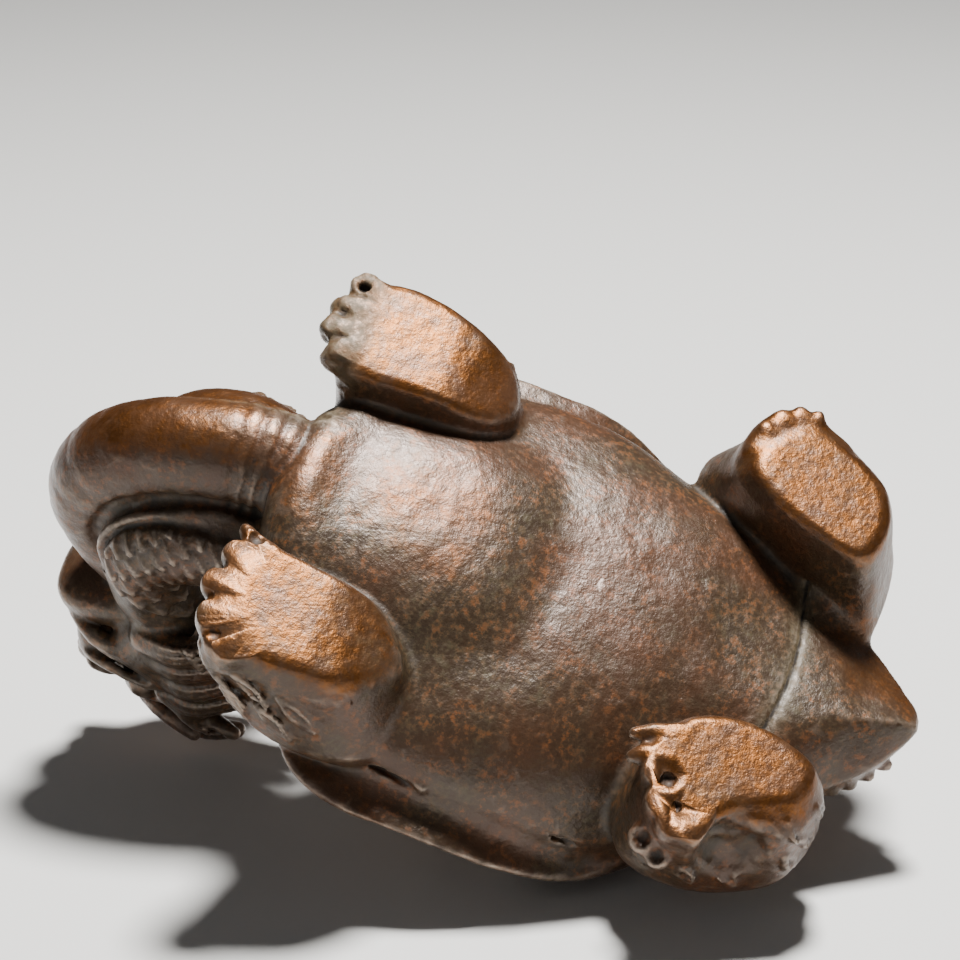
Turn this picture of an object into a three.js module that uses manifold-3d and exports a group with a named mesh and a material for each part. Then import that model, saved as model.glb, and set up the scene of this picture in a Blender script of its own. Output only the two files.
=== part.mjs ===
// Dragon turtle tea pet: a small ornament, cast in bronze as one solid piece, that stands on four feet.
// Millimetres. The head looks along -Y, the turtle's left flank is +X, and the soles stand on z = 0.

import * as THREE from "three";
import { mergeVertices } from "three/addons/utils/BufferGeometryUtils.js";
import Module from "manifold-3d";

const wasm = await Module();
wasm.setup();

// Driving dimensions
const LENGTH = 103; // foremost bend of the neck to the tip of the tail
const SHELL_WIDTH = 61.6; // across the rim
const SHELL_TOP = 34.5; // top of the dome above the soles
const RIM_HEIGHT = 15.5; // middle of the rim's edge above the soles
const BELLY_CLEARANCE = 4.3; // lowest point of the belly plate
const NECK_RADIUS = 6;
const HEAD_PITCH = THREE.MathUtils.degToRad(20); // the face is raised this far above level
const HEAD_CENTRE = new THREE.Vector3(-0.3, -34.5, 42);

const HALF_LENGTH = LENGTH / 2;
const RIM_HALF_WIDTH = SHELL_WIDTH / 2;
const SIDES = [-1, 1]; // the turtle's right and left

// Points and closed skins

const point = (x, y, z) => new THREE.Vector3(x, y, z);

// Evenly spaced numbers from first to last, both included.
const steps = (first, last, count) =>
  Array.from({ length: count }, (_, i) => first + ((last - first) * i) / (count - 1));

const signedPower = (value, power) => Math.sign(value) * Math.abs(value) ** power;

// A manifold solid from a closed geometry, whichever way its faces run.
function solid(geometry) {
  const bare = geometry.clone();
  bare.deleteAttribute("normal");
  bare.deleteAttribute("uv");
  const merged = mergeVertices(bare, 1e-4);
  const vertProperties = merged.getAttribute("position").array;
  const triVerts = new Uint32Array(merged.index.array);
  const made = new wasm.Manifold(new wasm.Mesh({ numProp: 3, vertProperties, triVerts }));
  return made.volume() < 0 ? solid(turnedRound(merged)) : made;
}

function turnedRound(geometry) {
  const turned = geometry.clone();
  turned.setIndex(Array.from(geometry.index.array).reverse());
  return turned;
}

const unite = (solids) => wasm.Manifold.union(solids);

const middleOf = (ring) => ring.reduce((sum, p) => sum.add(p), point(0, 0, 0)).divideScalar(ring.length);

// A closed skin over a stack of rings of the same number of points, drawn to a point at each end.
function skin(rings) {
  const sides = rings[0].length;
  const points = [...rings.flat(), middleOf(rings[0]), middleOf(rings.at(-1))];
  const firstPole = points.length - 2;
  const lastPole = points.length - 1;
  const lastRing = (rings.length - 1) * sides;
  const index = [];
  for (let side = 0; side < sides; side++) {
    const next = (side + 1) % sides;
    index.push(firstPole, next, side);
    index.push(lastPole, lastRing + side, lastRing + next);
    for (let ring = 0; ring < lastRing; ring += sides) {
      index.push(ring + side, ring + next, ring + sides + side);
      index.push(ring + next, ring + sides + next, ring + sides + side);
    }
  }
  const geometry = new THREE.BufferGeometry().setFromPoints(points);
  geometry.setIndex(index);
  return solid(geometry);
}

// A level oval: half width across, half length along, fuller than an ellipse when power is over 2.
// Its front half may have a length and a power of its own.
function oval({ y, z, width, length, power, frontLength = length, frontPower = power, sides }) {
  return steps(0, 2 * Math.PI, sides + 1)
    .slice(0, sides)
    .map((angle) => {
      const inFront = Math.sin(angle) < 0;
      const bend = 2 / (inFront ? frontPower : power);
      const across = width * signedPower(Math.cos(angle), bend);
      const along = (inFront ? frontLength : length) * signedPower(Math.sin(angle), bend);
      return point(across, y + along, z);
    });
}

// An ellipsoid, or a box with round corners when power is over 2, with an optional turn.
function lump(centre, size, { power = 2, turn = [0, 0, 0], across = 8, up = 6 } = {}) {
  const geometry = new THREE.SphereGeometry(1, across, up);
  const position = geometry.getAttribute("position");
  const rotation = new THREE.Euler(...turn);
  for (let i = 0; i < position.count; i++) {
    const p = new THREE.Vector3().fromBufferAttribute(position, i);
    const norm = (Math.abs(p.x) ** power + Math.abs(p.y) ** power + Math.abs(p.z) ** power) ** (1 / power);
    p.divideScalar(norm).multiply(size).applyEuler(rotation).add(centre);
    position.setXYZ(i, p.x, p.y, p.z);
  }
  return solid(geometry);
}

// Across and outward directions round a curve at u, kept level across wherever that can be.
function frameAt(curve, u) {
  const along = curve.getTangentAt(u);
  const across = point(1, 0, 0).addScaledVector(along, -along.x).normalize();
  const outward = new THREE.Vector3().crossVectors(along, across);
  return { along, across, outward };
}

// A round bar along a smooth curve; radiusAt gives [across, outward] radii for 0 to 1 along it.
function bar(points, radiusAt, { rings = 12, sides = 10 } = {}) {
  const curve = new THREE.CatmullRomCurve3(points);
  const ringAt = (u, share, push) => {
    const { along, across, outward } = frameAt(curve, u);
    const [wide, deep] = radiusAt(u);
    const centre = curve.getPointAt(u).addScaledVector(along, push * Math.min(wide, deep));
    return steps(0, 2 * Math.PI, sides + 1)
      .slice(0, sides)
      .map((angle) =>
        centre
          .clone()
          .addScaledVector(across, wide * share * Math.cos(angle))
          .addScaledVector(outward, deep * share * Math.sin(angle)),
      );
  };
  const body = steps(0, 1, rings).map((u) => ringAt(u, 1, 0));
  const roundedEnd = 0.6; // share of the radius kept by the ring that rounds off each end
  return skin([ringAt(0, roundedEnd, -roundedEnd), ...body, ringAt(1, roundedEnd, roundedEnd)]);
}

// A lock of mane, a horn or a claw: a bar that tapers to a fine tip.
function taper(points, root, tip, options = {}) {
  const flat = options.flat ?? 1; // thickness over width
  const radiusAt = (u) => {
    const radius = root + (tip - root) * u ** 1.3;
    return [radius, radius * flat];
  };
  return bar(points, radiusAt, { rings: 4, sides: 5, ...options });
}

// Facets of one small scale, a low four-sided stud.
const SCALE_FACETS = { across: 4, up: 2 };

// Trunk: one stack of level ovals from the belly plate up over the rim, with the dome on it

const BODY_SIDES = 34;
const DOME = { width: 27, length: 25.4, frontLength: 21.5, y: 4.5, base: 16.2, power: 2.15 };
const BELLY = { width: 26.4, length: 29.6, y: 4.8, top: 13.8, power: 2.45, rings: 6 };
const RIM = { length: 27.5, power: 2.2, frontLength: 23.5, frontPower: 4 }; // its front corners are squarer
const REAR_RISE = 5.5; // how far the rim climbs to clear the hind legs and the tail
const REAR_RISE_END = 20; // it climbs from the middle of the shell to here

// Scutes on the dome, placed on a square net from -1 to 1 that is drawn out to the dome's oval
const SCUTE_RAISE = 1.6;
const GROOVE_HALF = 0.035; // half a groove's width on the net
const SPINE_EDGE = 0.3; // between the spine's scutes and the flanks'
const MARGIN_EDGE = 0.76; // between the flanks' scutes and the small ones round the edge
const SPINE_CUTS = steps(-0.45, 0.45, 4);
const FLANK_CUTS = steps(-0.3, 0.3, 3);
const WIDE_GAP = 0.2; // grooves further apart than this have a line of the net midway between them
const ZIGZAG = 0.05; // how far the spine's edge swings out at a flank's cut and in at its own

// The same ring with its rear lifted by the given share of the rim's climb.
function lifted(ring, share) {
  return ring.map((p) => {
    const climb = Math.min(1, Math.max(0, p.y / REAR_RISE_END)) ** 1.8;
    return point(p.x, p.y, p.z + share * REAR_RISE * climb);
  });
}

function bellyRings() {
  return steps(0.12, 1, BELLY.rings).map((share) => {
    const angle = (share * Math.PI) / 2;
    const ring = oval({
      y: BELLY.y,
      z: BELLY.top - (BELLY.top - BELLY_CLEARANCE) * Math.cos(angle) ** 0.9,
      width: BELLY.width * Math.sin(angle) ** 0.9,
      length: BELLY.length * Math.sin(angle) ** 0.9,
      power: BELLY.power,
      sides: BODY_SIDES,
    });
    return lifted(ring, 0.8 * share ** 6);
  });
}

// Underside, edge and upper side of the rim, each as height against the rim and inset from its edge.
function rimRings() {
  const profile = [
    [-1.3, 1.6],
    [-0.7, 0.2],
    [0.4, 0],
    [1.1, 1.1],
    [1.4, 7],
  ];
  return profile.map(([rise, inset]) => {
    const ring = oval({
      y: DOME.y,
      z: RIM_HEIGHT + rise,
      width: RIM_HALF_WIDTH - inset,
      length: RIM.length - inset,
      power: RIM.power,
      frontLength: RIM.frontLength - inset,
      frontPower: RIM.frontPower,
      sides: BODY_SIDES,
    });
    return lifted(ring, 1);
  });
}

// Lines of the dome's net in one direction: three for each groove, and one midway between distant grooves.
function netLines(cuts) {
  const stops = [-1, ...cuts, 1];
  const grooves = cuts.flatMap((cut) => [cut - GROOVE_HALF, cut, cut + GROOVE_HALF]);
  const gaps = stops.slice(1).map((stop, i) => [stops[i], stop]);
  const middles = gaps.filter(([from, to]) => to - from > WIDE_GAP).map(([from, to]) => (from + to) / 2);
  return [-1, ...grooves, ...middles, 1].sort((a, b) => a - b);
}

const isOneOf = (value, list) => list.some((other) => Math.abs(value - other) < 1e-6);

// Whether a crossing of the net lies in a groove between scutes.
function inGroove(u, v) {
  const across = Math.abs(u);
  const along = Math.abs(v);
  const ownCut = isOneOf(v, SPINE_CUTS);
  const flankCut = isOneOf(v, FLANK_CUTS);
  if (isOneOf(across, [MARGIN_EDGE]) && along <= MARGIN_EDGE) return true;
  if (isOneOf(along, [MARGIN_EDGE]) && across <= MARGIN_EDGE) return true;
  if (along > MARGIN_EDGE) return isOneOf(across, [SPINE_EDGE, MARGIN_EDGE]);
  if (across > MARGIN_EDGE) return ownCut || flankCut;
  if (isOneOf(across, [SPINE_EDGE])) return true;
  return across < SPINE_EDGE ? ownCut : flankCut;
}

// How far the spine's edge swings outward at v: 1 at a flank's cut and -1 at the spine's own.
const zigzag = (v) => Math.cos((2 * Math.PI * v) / (FLANK_CUTS[1] - FLANK_CUTS[0]));

// A place on the dome for a crossing of the net.
function domePoint(u, v) {
  const swing = Math.max(0, 1 - Math.abs(Math.abs(u) - SPINE_EDGE) / (SPINE_EDGE - GROOVE_HALF));
  const swungU = Math.abs(v) < MARGIN_EDGE ? u + Math.sign(u) * ZIGZAG * swing * zigzag(v) : u;
  const fromTop = (Math.max(Math.abs(swungU), Math.abs(v)) * Math.PI) / 2;
  const angle = Math.atan2(v, swungU);
  const reach = Math.sin(fromTop) ** 0.85;
  const x = DOME.width * reach * signedPower(Math.cos(angle), 2 / DOME.power);
  const length = v < 0 ? DOME.frontLength : DOME.length;
  const y = DOME.y + length * reach * signedPower(Math.sin(angle), 2 / DOME.power);
  const z = DOME.base + (SHELL_TOP - SCUTE_RAISE - DOME.base) * Math.cos(fromTop);
  const [skyward] = lifted([point(x, y, z)], Math.sin(fromTop) ** 2);
  const outward = point(x, y - DOME.y, z - DOME.base).normalize();
  const toEdge = Math.max(Math.abs(u), Math.abs(v));
  const fade = toEdge > MARGIN_EDGE + GROOVE_HALF ? (1 - toEdge) / (1 - MARGIN_EDGE) : 1;
  return skyward.addScaledVector(outward, inGroove(u, v) ? 0 : SCUTE_RAISE * fade);
}

function dome() {
  const across = netLines([-MARGIN_EDGE, -SPINE_EDGE, SPINE_EDGE, MARGIN_EDGE]);
  const along = netLines([-MARGIN_EDGE, ...SPINE_CUTS, ...FLANK_CUTS, MARGIN_EDGE].sort((a, b) => a - b));
  const row = across.length;
  const net = along.flatMap((v) => across.map((u) => domePoint(u, v)));
  const lastRow = (along.length - 1) * row;
  const floor = net.push(point(0, DOME.y, DOME.base)) - 1;
  const index = [];
  for (let i = 0; i < along.length - 1; i++) {
    for (let j = 0; j < row - 1; j++) {
      const at = i * row + j;
      index.push(at, at + 1, at + row + 1, at, at + row + 1, at + row);
    }
    index.push(floor, i * row, (i + 1) * row);
    index.push(floor, (i + 1) * row + row - 1, i * row + row - 1);
  }
  for (let j = 0; j < row - 1; j++) {
    index.push(floor, j + 1, j);
    index.push(floor, lastRow + j, lastRow + j + 1);
  }
  const geometry = new THREE.BufferGeometry().setFromPoints(net);
  geometry.setIndex(index);
  return solid(geometry);
}

const trunk = () => skin([...bellyRings(), ...rimRings()]);

// The front of the belly plate swells down and ends in a blunt edge over the root of the neck.
const frontLobe = () =>
  lump(point(1, -10.4, 9.6), point(13.8, 15, 7.3), { power: 2.7, across: 16, up: 8 });

// Its rear end is blunt too, where it meets the tail.
const rearLobe = () => lump(point(2, 19, 12.6), point(16, 15.8, 6.3), { power: 2.8, across: 16, up: 8 });

// Legs: stout columns on flat soles, each with a row of toes along its forward edge

// Closed outlines of each leg seen from above, at three levels, from the front corner on the belly's side
// round the toes to the heel. The heel of a front foot curves up behind the flat of its sole.
const LEGS = [
  {
    side: 1,
    sole: [
      [14.4, -22.6], [20.5, -24.2], [26.4, -22.2], [27, -15.5],
      [23.4, -7.4], [18.2, -3.8], [14.4, -6.8], [13.8, -14.5],
    ],
    ankle: [
      [13.9, -22.9], [20.5, -24.6], [27.2, -22.2], [28, -15],
      [24.6, -6.2], [18.4, -2.8], [14, -6.2], [13.4, -14.2],
    ],
    hip: [
      [12.6, -21.3], [19.2, -22.4], [26.6, -19.5], [28.6, -12.5],
      [26, -4.6], [19, -1.4], [13.6, -4.8], [12.4, -13],
    ],
    toes: [[16.1, -24], [19.3, -25.2], [22.6, -25], [25.5, -23.6]],
    heelStart: -12.5,
    top: 18,
  },
  {
    side: -1,
    sole: [
      [-11.2, -25], [-17.5, -27], [-24.4, -26], [-24.4, -20.2],
      [-23.4, -11.6], [-18.4, -8], [-13.2, -11.4], [-11.2, -18],
    ],
    ankle: [
      [-10.7, -24.8], [-17.5, -27.2], [-25.2, -25.6], [-25.4, -19.6],
      [-24.8, -10.8], [-18.6, -6.4], [-12.6, -9.8], [-10.8, -17.4],
    ],
    hip: [
      [-10.5, -22], [-18, -23.6], [-25, -21], [-27.2, -14],
      [-26, -6.4], [-19, -2.6], [-12.4, -5], [-10.6, -13],
    ],
    toes: [[-12.4, -26.4], [-15.8, -27.6], [-19.4, -27.9], [-23, -27.1]],
    heelStart: -16,
    top: 18,
  },
  {
    side: 1,
    sole: [
      [19.2, 24.6], [24.2, 26], [27, 29.4], [26, 33.6],
      [22.6, 39], [17.2, 40.6], [12.4, 38.4], [14.4, 31],
    ],
    ankle: [
      [19.4, 23], [25.6, 23.4], [29.2, 28.4], [28.4, 34.4],
      [23.8, 40.2], [17.4, 41.8], [11.8, 39.4], [14, 30.6],
    ],
    hip: [
      [19.8, 21.2], [25.2, 19.8], [28.8, 24.6], [29.2, 33],
      [26, 41.2], [18.6, 44.4], [10, 42.6], [12.7, 33],
    ],
    toes: [[24.4, 24], [26.8, 25.6], [28.2, 27.8], [28.5, 30.5]],
    heelStart: 60,
    top: 20,
  },
  {
    side: -1,
    sole: [
      [-14.2, 24.8], [-20.2, 23], [-26.8, 25.2], [-28, 29],
      [-22.8, 32], [-19.8, 38], [-14.6, 38.8], [-12.2, 31.5],
    ],
    ankle: [
      [-13.6, 24], [-20.4, 21.8], [-27, 24.2], [-28.6, 29],
      [-25, 33.4], [-21.4, 39.8], [-14.6, 40.6], [-11.8, 31.5],
    ],
    hip: [
      [-12.8, 22.8], [-19.6, 20.6], [-25.6, 22.6], [-27.6, 29],
      [-26.2, 35.4], [-22.2, 40.8], [-13.6, 42.6], [-10.8, 33],
    ],
    toes: [[-17.4, 21.8], [-21.2, 22.6], [-24.8, 24], [-27.2, 26.4]],
    heelStart: 60,
    top: 20,
  },
];
const ANKLE_HEIGHT = 3;
const HIP_HEIGHT = 11;
const HEEL_RISE = 2.6;
const HEEL_LENGTH = 9;
const LEG_SIDES = 16;
const TOE_SIZE = point(1.75, 2.3, 1.9);
const TUFT_RADIUS = 1.4;
const TUFT_SINK = 0.93; // the tufts lie this share of the way out to the leg's surface

// A leg's outline as a smooth closed ring.
function outlineRing(outline) {
  const curve = new THREE.CatmullRomCurve3(outline.map(([x, y]) => point(x, y, 0)), true);
  return curve.getPoints(LEG_SIDES).slice(0, LEG_SIDES);
}

// A ring between two others, at a height and drawn in towards its own middle.
function ringBetween(ring, other, share, z, shrink = 1) {
  const mixed = ring.map((p, i) => p.clone().lerp(other[i], share));
  const middle = middleOf(mixed);
  return mixed.map((p) => {
    const drawn = middle.clone().lerp(p, shrink);
    return point(drawn.x, drawn.y, z);
  });
}

// The part of a sole that is flat, and the heel curving up behind it.
function soleRings({ sole, heelStart }) {
  const outline = outlineRing(sole);
  const flat = outline.map((p) => point(p.x, Math.min(p.y, heelStart), 0));
  const heel = outline.map((p) => {
    const behind = Math.max(0, p.y - heelStart) / HEEL_LENGTH;
    return point(p.x, p.y, 0.05 + HEEL_RISE * behind ** 1.6);
  });
  return [flat, heel];
}

function column(leg) {
  const [flat, heel] = soleRings(leg);
  const ankle = outlineRing(leg.ankle);
  const hip = outlineRing(leg.hip);
  const rings = [
    flat,
    heel,
    ringBetween(ankle, hip, 0, ANKLE_HEIGHT),
    ringBetween(ankle, hip, 0.5, (ANKLE_HEIGHT + HIP_HEIGHT) / 2),
    ringBetween(ankle, hip, 1, HIP_HEIGHT),
    ringBetween(ankle, hip, 1, (HIP_HEIGHT + leg.top) / 2 + 1, 0.86),
    ringBetween(ankle, hip, 1, leg.top, 0.45),
  ];
  return skin(rings);
}

// Stubby toes along the forward edge, each pointing away from the middle of the hip.
function toes(leg) {
  const middle = middleOf(outlineRing(leg.hip));
  return leg.toes.map(([x, y]) => {
    const facing = Math.atan2(y - middle.y, x - middle.x) + Math.PI / 2;
    return lump(point(x, y, TOE_SIZE.z), TOE_SIZE, { turn: [0, 0, facing], across: 6, up: 4 });
  });
}

// Two flame-shaped tufts that lie down the outer side of a leg, from the hip towards the heel.
function tufts(leg) {
  const ankle = outlineRing(leg.ankle);
  const hip = outlineRing(leg.hip);
  return [5, 7].map((sample) => {
    const places = [
      ringBetween(ankle, hip, 1, HIP_HEIGHT, TUFT_SINK)[sample],
      ringBetween(ankle, hip, 0.6, HIP_HEIGHT * 0.7, TUFT_SINK)[sample + 1],
      ringBetween(ankle, hip, 0.1, ANKLE_HEIGHT + 0.6, TUFT_SINK)[sample + 1],
    ];
    return taper(places, TUFT_RADIUS, TUFT_RADIUS / 3, { flat: 0.6, rings: 3 });
  });
}

const leg = (foot) => [column(foot), ...toes(foot), ...tufts(foot)];

// Tail: a short pointed pyramid with a keel below, set off from the belly by a seam

const TAIL_SIDES = 12;
const SEAM_Y = 34.9;
const SEAM_RADIUS = 0.8;
// Distance from the tip, half width, underside height and upper height.
const TAIL_PROFILE = [
  [25, 12, 8.6, 19],
  [16.2, 12.9, 7.8, 20],
  [13, 12.5, 7.2, 20.5],
  [9.5, 10.8, 7.2, 19.8],
  [6, 8.2, 7.5, 18],
  [3, 5, 8, 15.4],
  [1, 2.2, 8.7, 12.4],
  [0, 0.5, 9.6, 10.8],
];

// The keel runs a little to the turtle's right of the middle, and is sharpest towards the tip.
const KEEL_OFFSET = 3.4;
const KEEL_FADE = 14; // distance from the tip over which it swings aside and softens

function tailSection([fromTip, halfWidth, low, high]) {
  const middle = low + (high - low) * 0.45;
  const away = Math.min(1, fromTip / KEEL_FADE);
  return steps(0, 2 * Math.PI, TAIL_SIDES + 1)
    .slice(0, TAIL_SIDES)
    .map((angle) => {
      const rise = Math.sin(angle);
      const below = rise < 0;
      const across = signedPower(Math.cos(angle), below ? 1.4 - 0.3 * away : 0.9);
      const aside = below ? KEEL_OFFSET * away * rise : 0;
      const z = middle + (below ? middle - low : high - middle) * rise;
      return point(halfWidth * across + aside, HALF_LENGTH - fromTip, z);
    });
}

const tail = () => skin(TAIL_PROFILE.map(tailSection));

// Small scales along the tail's lower edges.
function tailScales() {
  return SIDES.flatMap((side) =>
    steps(38, 47, 4).map((y) => {
      const halfWidth = 12 - (y - 37) * 0.72;
      return lump(point(side * halfWidth, y, 12.6), point(1.1, 1.9, 1.7), SCALE_FACETS);
    }),
  );
}

// A groove between the belly plate's rear end and the tail.
function rearSeam() {
  const places = [[-12, 12], [-7, 8.6], [0, 7.8], [7, 8.6], [12, 12]];
  const path = places.map(([x, z]) => point(x, SEAM_Y, z));
  return bar(path, () => [SEAM_RADIUS, SEAM_RADIUS], { rings: 7, sides: 5 });
}

// Neck: a thick throat band that bends forward, up and back to the throat, over a scaled mass

const THROAT = [
  point(2.5, -16, 11.5),
  point(4.2, -26, 8.6),
  point(3.4, -36, 9.8),
  point(2.4, -43.4, 14.6),
  point(1.8, -HALF_LENGTH + NECK_RADIUS - 0.4, 21.5),
  point(1.2, -43.4, 27),
  point(0.6, -38.4, 30.5),
  point(0, -32, 33),
];
const NECK_MASS = [
  point(0.6, -12, 18),
  point(1.8, -24, 16.5),
  point(1.6, -33, 17.5),
  point(1.2, -38, 22),
  point(0.6, -36.4, 29),
  point(0, -31, 36),
  point(0, -27, 42),
];
const NECK_MASS_SIZE = [9, 6.6]; // half across, half deep
const THROAT_FOLDS = 5;
const FOLD_DEPTH = 0.045; // as a share of the radius
const FOLDED_SHARE = 0.42; // the folds crowd the first part of the band, next to the collar

function throatBand() {
  const radiusAt = (u) => {
    const fold = u < FOLDED_SHARE ? Math.cos((2 * Math.PI * THROAT_FOLDS * u) / FOLDED_SHARE) : 0;
    const radius = NECK_RADIUS * (1 - 0.07 * u) * (1 + FOLD_DEPTH * fold);
    return [radius, radius];
  };
  return bar(THROAT, radiusAt, { rings: 24, sides: 10 });
}

// The narrow raised edges of the throat band, one along each flank.
function bandEdges() {
  const curve = new THREE.CatmullRomCurve3(THROAT);
  return SIDES.map((side) => {
    const edge = steps(0.26, 0.95, 8).map((u) => {
      const { across, outward } = frameAt(curve, u);
      return curve
        .getPointAt(u)
        .addScaledVector(across, side * NECK_RADIUS * 0.94)
        .addScaledVector(outward, NECK_RADIUS * 0.3);
    });
    return bar(edge, () => [1, 1], { rings: 7, sides: 4 });
  });
}

// The left flank of the neck swells out beside the throat band.
const leftFlank = () => lump(point(7, -31, 14), point(7.4, 11, 7.4));

const neckMass = () => bar(NECK_MASS, () => NECK_MASS_SIZE, { rings: 9, sides: 10 });

// Fish scales in rows along both flanks of the neck.
function neckScales() {
  const curve = new THREE.CatmullRomCurve3(NECK_MASS);
  const [wide, deep] = NECK_MASS_SIZE;
  const scales = [];
  for (const side of SIDES) {
    for (const [row, angle] of [-0.62, 0, 0.62].entries()) {
      for (const u of steps(0.32 + 0.05 * (row % 2), 0.74, 5)) {
        const { along, across, outward } = frameAt(curve, u);
        const place = curve
          .getPointAt(u)
          .addScaledVector(across, side * wide * Math.cos(angle) * 1.02)
          .addScaledVector(outward, deep * Math.sin(angle) * 1.02);
        const lean = Math.atan2(along.z, along.y);
        scales.push(lump(place, point(0.7, 2.4, 2), { turn: [lean, 0, 0], ...SCALE_FACETS }));
      }
    }
  }
  return scales;
}

// Head, in its own frame: x across, y back along it and z up through the crown

const toHead = new THREE.Matrix4()
  .makeTranslation(HEAD_CENTRE.x, HEAD_CENTRE.y, HEAD_CENTRE.z)
  .multiply(new THREE.Matrix4().makeRotationX(-HEAD_PITCH));

// The same list of points on the turtle's right and left.
const mirrored = (points, side) => points.map(([x, y, z]) => point(side * x, y, z));

function skull() {
  return [
    lump(point(0, 3, 3.4), point(8.6, 9, 7.4), { across: 10, up: 7 }),
    lump(point(0, -4.2, 1.3), point(6.9, 6.8, 5.2), { power: 3.6, across: 12, up: 6 }),
    lump(point(0, -9.2, 5.9), point(3.4, 2.4, 2.9)),
  ];
}

function face(side) {
  const brow = mirrored([[2.6, -6, 6.2], [5.4, -3.6, 8.6], [8.6, 0.6, 8.4], [10, 4.4, 9.6]], side);
  return [
    lump(point(side * 2.7, -10, 4.4), point(2.4, 2.3, 2.3)),
    lump(point(side * 7.2, -1.8, 4.2), point(2.1, 2.5, 2.4)),
    lump(point(side * 6.2, 1.5, -3), point(3.4, 5.4, 5)),
    taper(brow, 1.7, 1),
  ];
}

function lowerJaw() {
  const lip = (z, reach) => {
    const side = [[8, 2, z + 3.4], [7, -6, z + 0.6]];
    const path = [...mirrored(side, -1), point(0, -reach, z), ...mirrored(side, 1).reverse()];
    return bar(path, () => [1, 1], { rings: 7, sides: 4 });
  };
  return [
    lump(point(0, -3.2, -7.4), point(6.4, 8.7, 3.2), { power: 2.8, across: 12, up: 6 }),
    lip(-5.6, 11),
    lip(-3, 10.6),
  ];
}

const mouthGap = () => lump(point(0, -7, -4.25), point(9.5, 7, 0.55), { power: 3, across: 12, up: 6 });

function hornAndEar(side) {
  const horn = mirrored([[4.2, 0.6, 8], [6.6, 1.8, 11.2], [7.6, 5, 12], [7.8, 9, 11]], side);
  const ear = mirrored([[7, 3, 4.4], [9.6, 6, 6], [10.6, 10.5, 7]], side);
  return [taper(horn, 2.2, 1, { rings: 6 }), taper(ear, 2.5, 1, { flat: 0.6 })];
}

// The mane's mass, which the locks lie on.
const maneMass = () => lump(point(0, 8.4, -1.6), point(8.6, 8, 9.6), { across: 10, up: 7 });

// Locks of mane that sweep back and down from the cheek, close to the mass.
function maneLocks(side) {
  return steps(0, 3, 4).map((lock) => {
    const z = 3 - 3.5 * lock;
    const path = [[7.6, 2, z], [9.4, 7, z - 0.8], [8.2, 12, z - 1.6], [7, 16.6 - 0.8 * lock, z - 0.4]];
    return taper(mirrored(path, side), 2.2, 0.9, { sides: 4 });
  });
}

// Locks down the back of the neck from the crown to the shell.
function backLocks() {
  return steps(0, 2, 3).map((lock) => {
    const path = [[0, 8, 8.5 - 5 * lock], [0, 14, 7.4 - 5.4 * lock], [0, 18.4, 5 - 5.6 * lock]];
    return taper(mirrored(path, 1), 3.4, 1.1, { sides: 5, rings: 3 });
  });
}

function head() {
  const pieces = [
    ...skull(),
    ...lowerJaw(),
    maneMass(),
    ...backLocks(),
    ...SIDES.flatMap((side) => [...face(side), ...hornAndEar(side), ...maneLocks(side)]),
  ];
  return unite(pieces).subtract(mouthGap()).transform(toHead.elements);
}

// The whole casting

function casting() {
  const pieces = [
    trunk(),
    dome(),
    frontLobe(),
    rearLobe(),
    tail(),
    ...tailScales(),
    ...LEGS.flatMap(leg),
    throatBand(),
    ...bandEdges(),
    neckMass(),
    leftFlank(),
    ...neckScales(),
    head(),
  ];
  return outerSkin(unite(pieces).subtract(rearSeam()));
}

// The casting without the specks of air shut in where its lumps meet.
function outerSkin(made) {
  return made.decompose().reduce((largest, other) => (other.volume() > largest.volume() ? other : largest));
}

function geometryOf(made) {
  const { vertProperties, triVerts } = made.getMesh();
  const geometry = new THREE.BufferGeometry();
  geometry.setAttribute("position", new THREE.BufferAttribute(new Float32Array(vertProperties), 3));
  geometry.setIndex(new THREE.BufferAttribute(new Uint32Array(triVerts), 1));
  geometry.computeVertexNormals();
  return geometry;
}

const bronze = new THREE.MeshStandardMaterial({ color: 0x5a3a26, roughness: 0.45, metalness: 0.85 });

const teaPet = new THREE.Group();
const dragonTurtle = new THREE.Mesh(geometryOf(casting()), bronze);
dragonTurtle.name = "dragon_turtle";
teaPet.add(dragonTurtle);

export default teaPet;
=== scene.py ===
"""Dragon turtle tea pet: the dressed look of one small bronze casting, modelled in clay-like distance fields.

Sizes in the modelling sections are millimetres in the part's own frame: the head looks along -Y, the
turtle's left flank is +X and the soles stand on z = 0. They become metres when the mesh is made.
"""

import math

import bpy
import numpy as np
from mathutils import Matrix, Vector


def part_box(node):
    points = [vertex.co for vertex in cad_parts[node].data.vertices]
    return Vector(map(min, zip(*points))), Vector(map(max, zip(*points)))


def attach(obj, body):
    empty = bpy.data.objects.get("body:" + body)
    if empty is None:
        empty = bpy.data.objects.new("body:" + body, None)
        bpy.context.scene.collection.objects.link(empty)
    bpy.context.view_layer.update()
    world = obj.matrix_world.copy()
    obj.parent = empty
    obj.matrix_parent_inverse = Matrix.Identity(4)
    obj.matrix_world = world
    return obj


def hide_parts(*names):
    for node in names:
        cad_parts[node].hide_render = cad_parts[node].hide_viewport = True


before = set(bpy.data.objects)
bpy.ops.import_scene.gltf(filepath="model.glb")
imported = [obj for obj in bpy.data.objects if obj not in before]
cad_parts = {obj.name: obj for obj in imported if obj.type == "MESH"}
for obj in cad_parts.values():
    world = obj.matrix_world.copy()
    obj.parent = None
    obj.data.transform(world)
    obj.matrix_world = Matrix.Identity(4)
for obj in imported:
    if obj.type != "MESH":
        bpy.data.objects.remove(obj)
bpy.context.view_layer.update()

MM = 0.001
NODE = "dragon_turtle"

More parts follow.
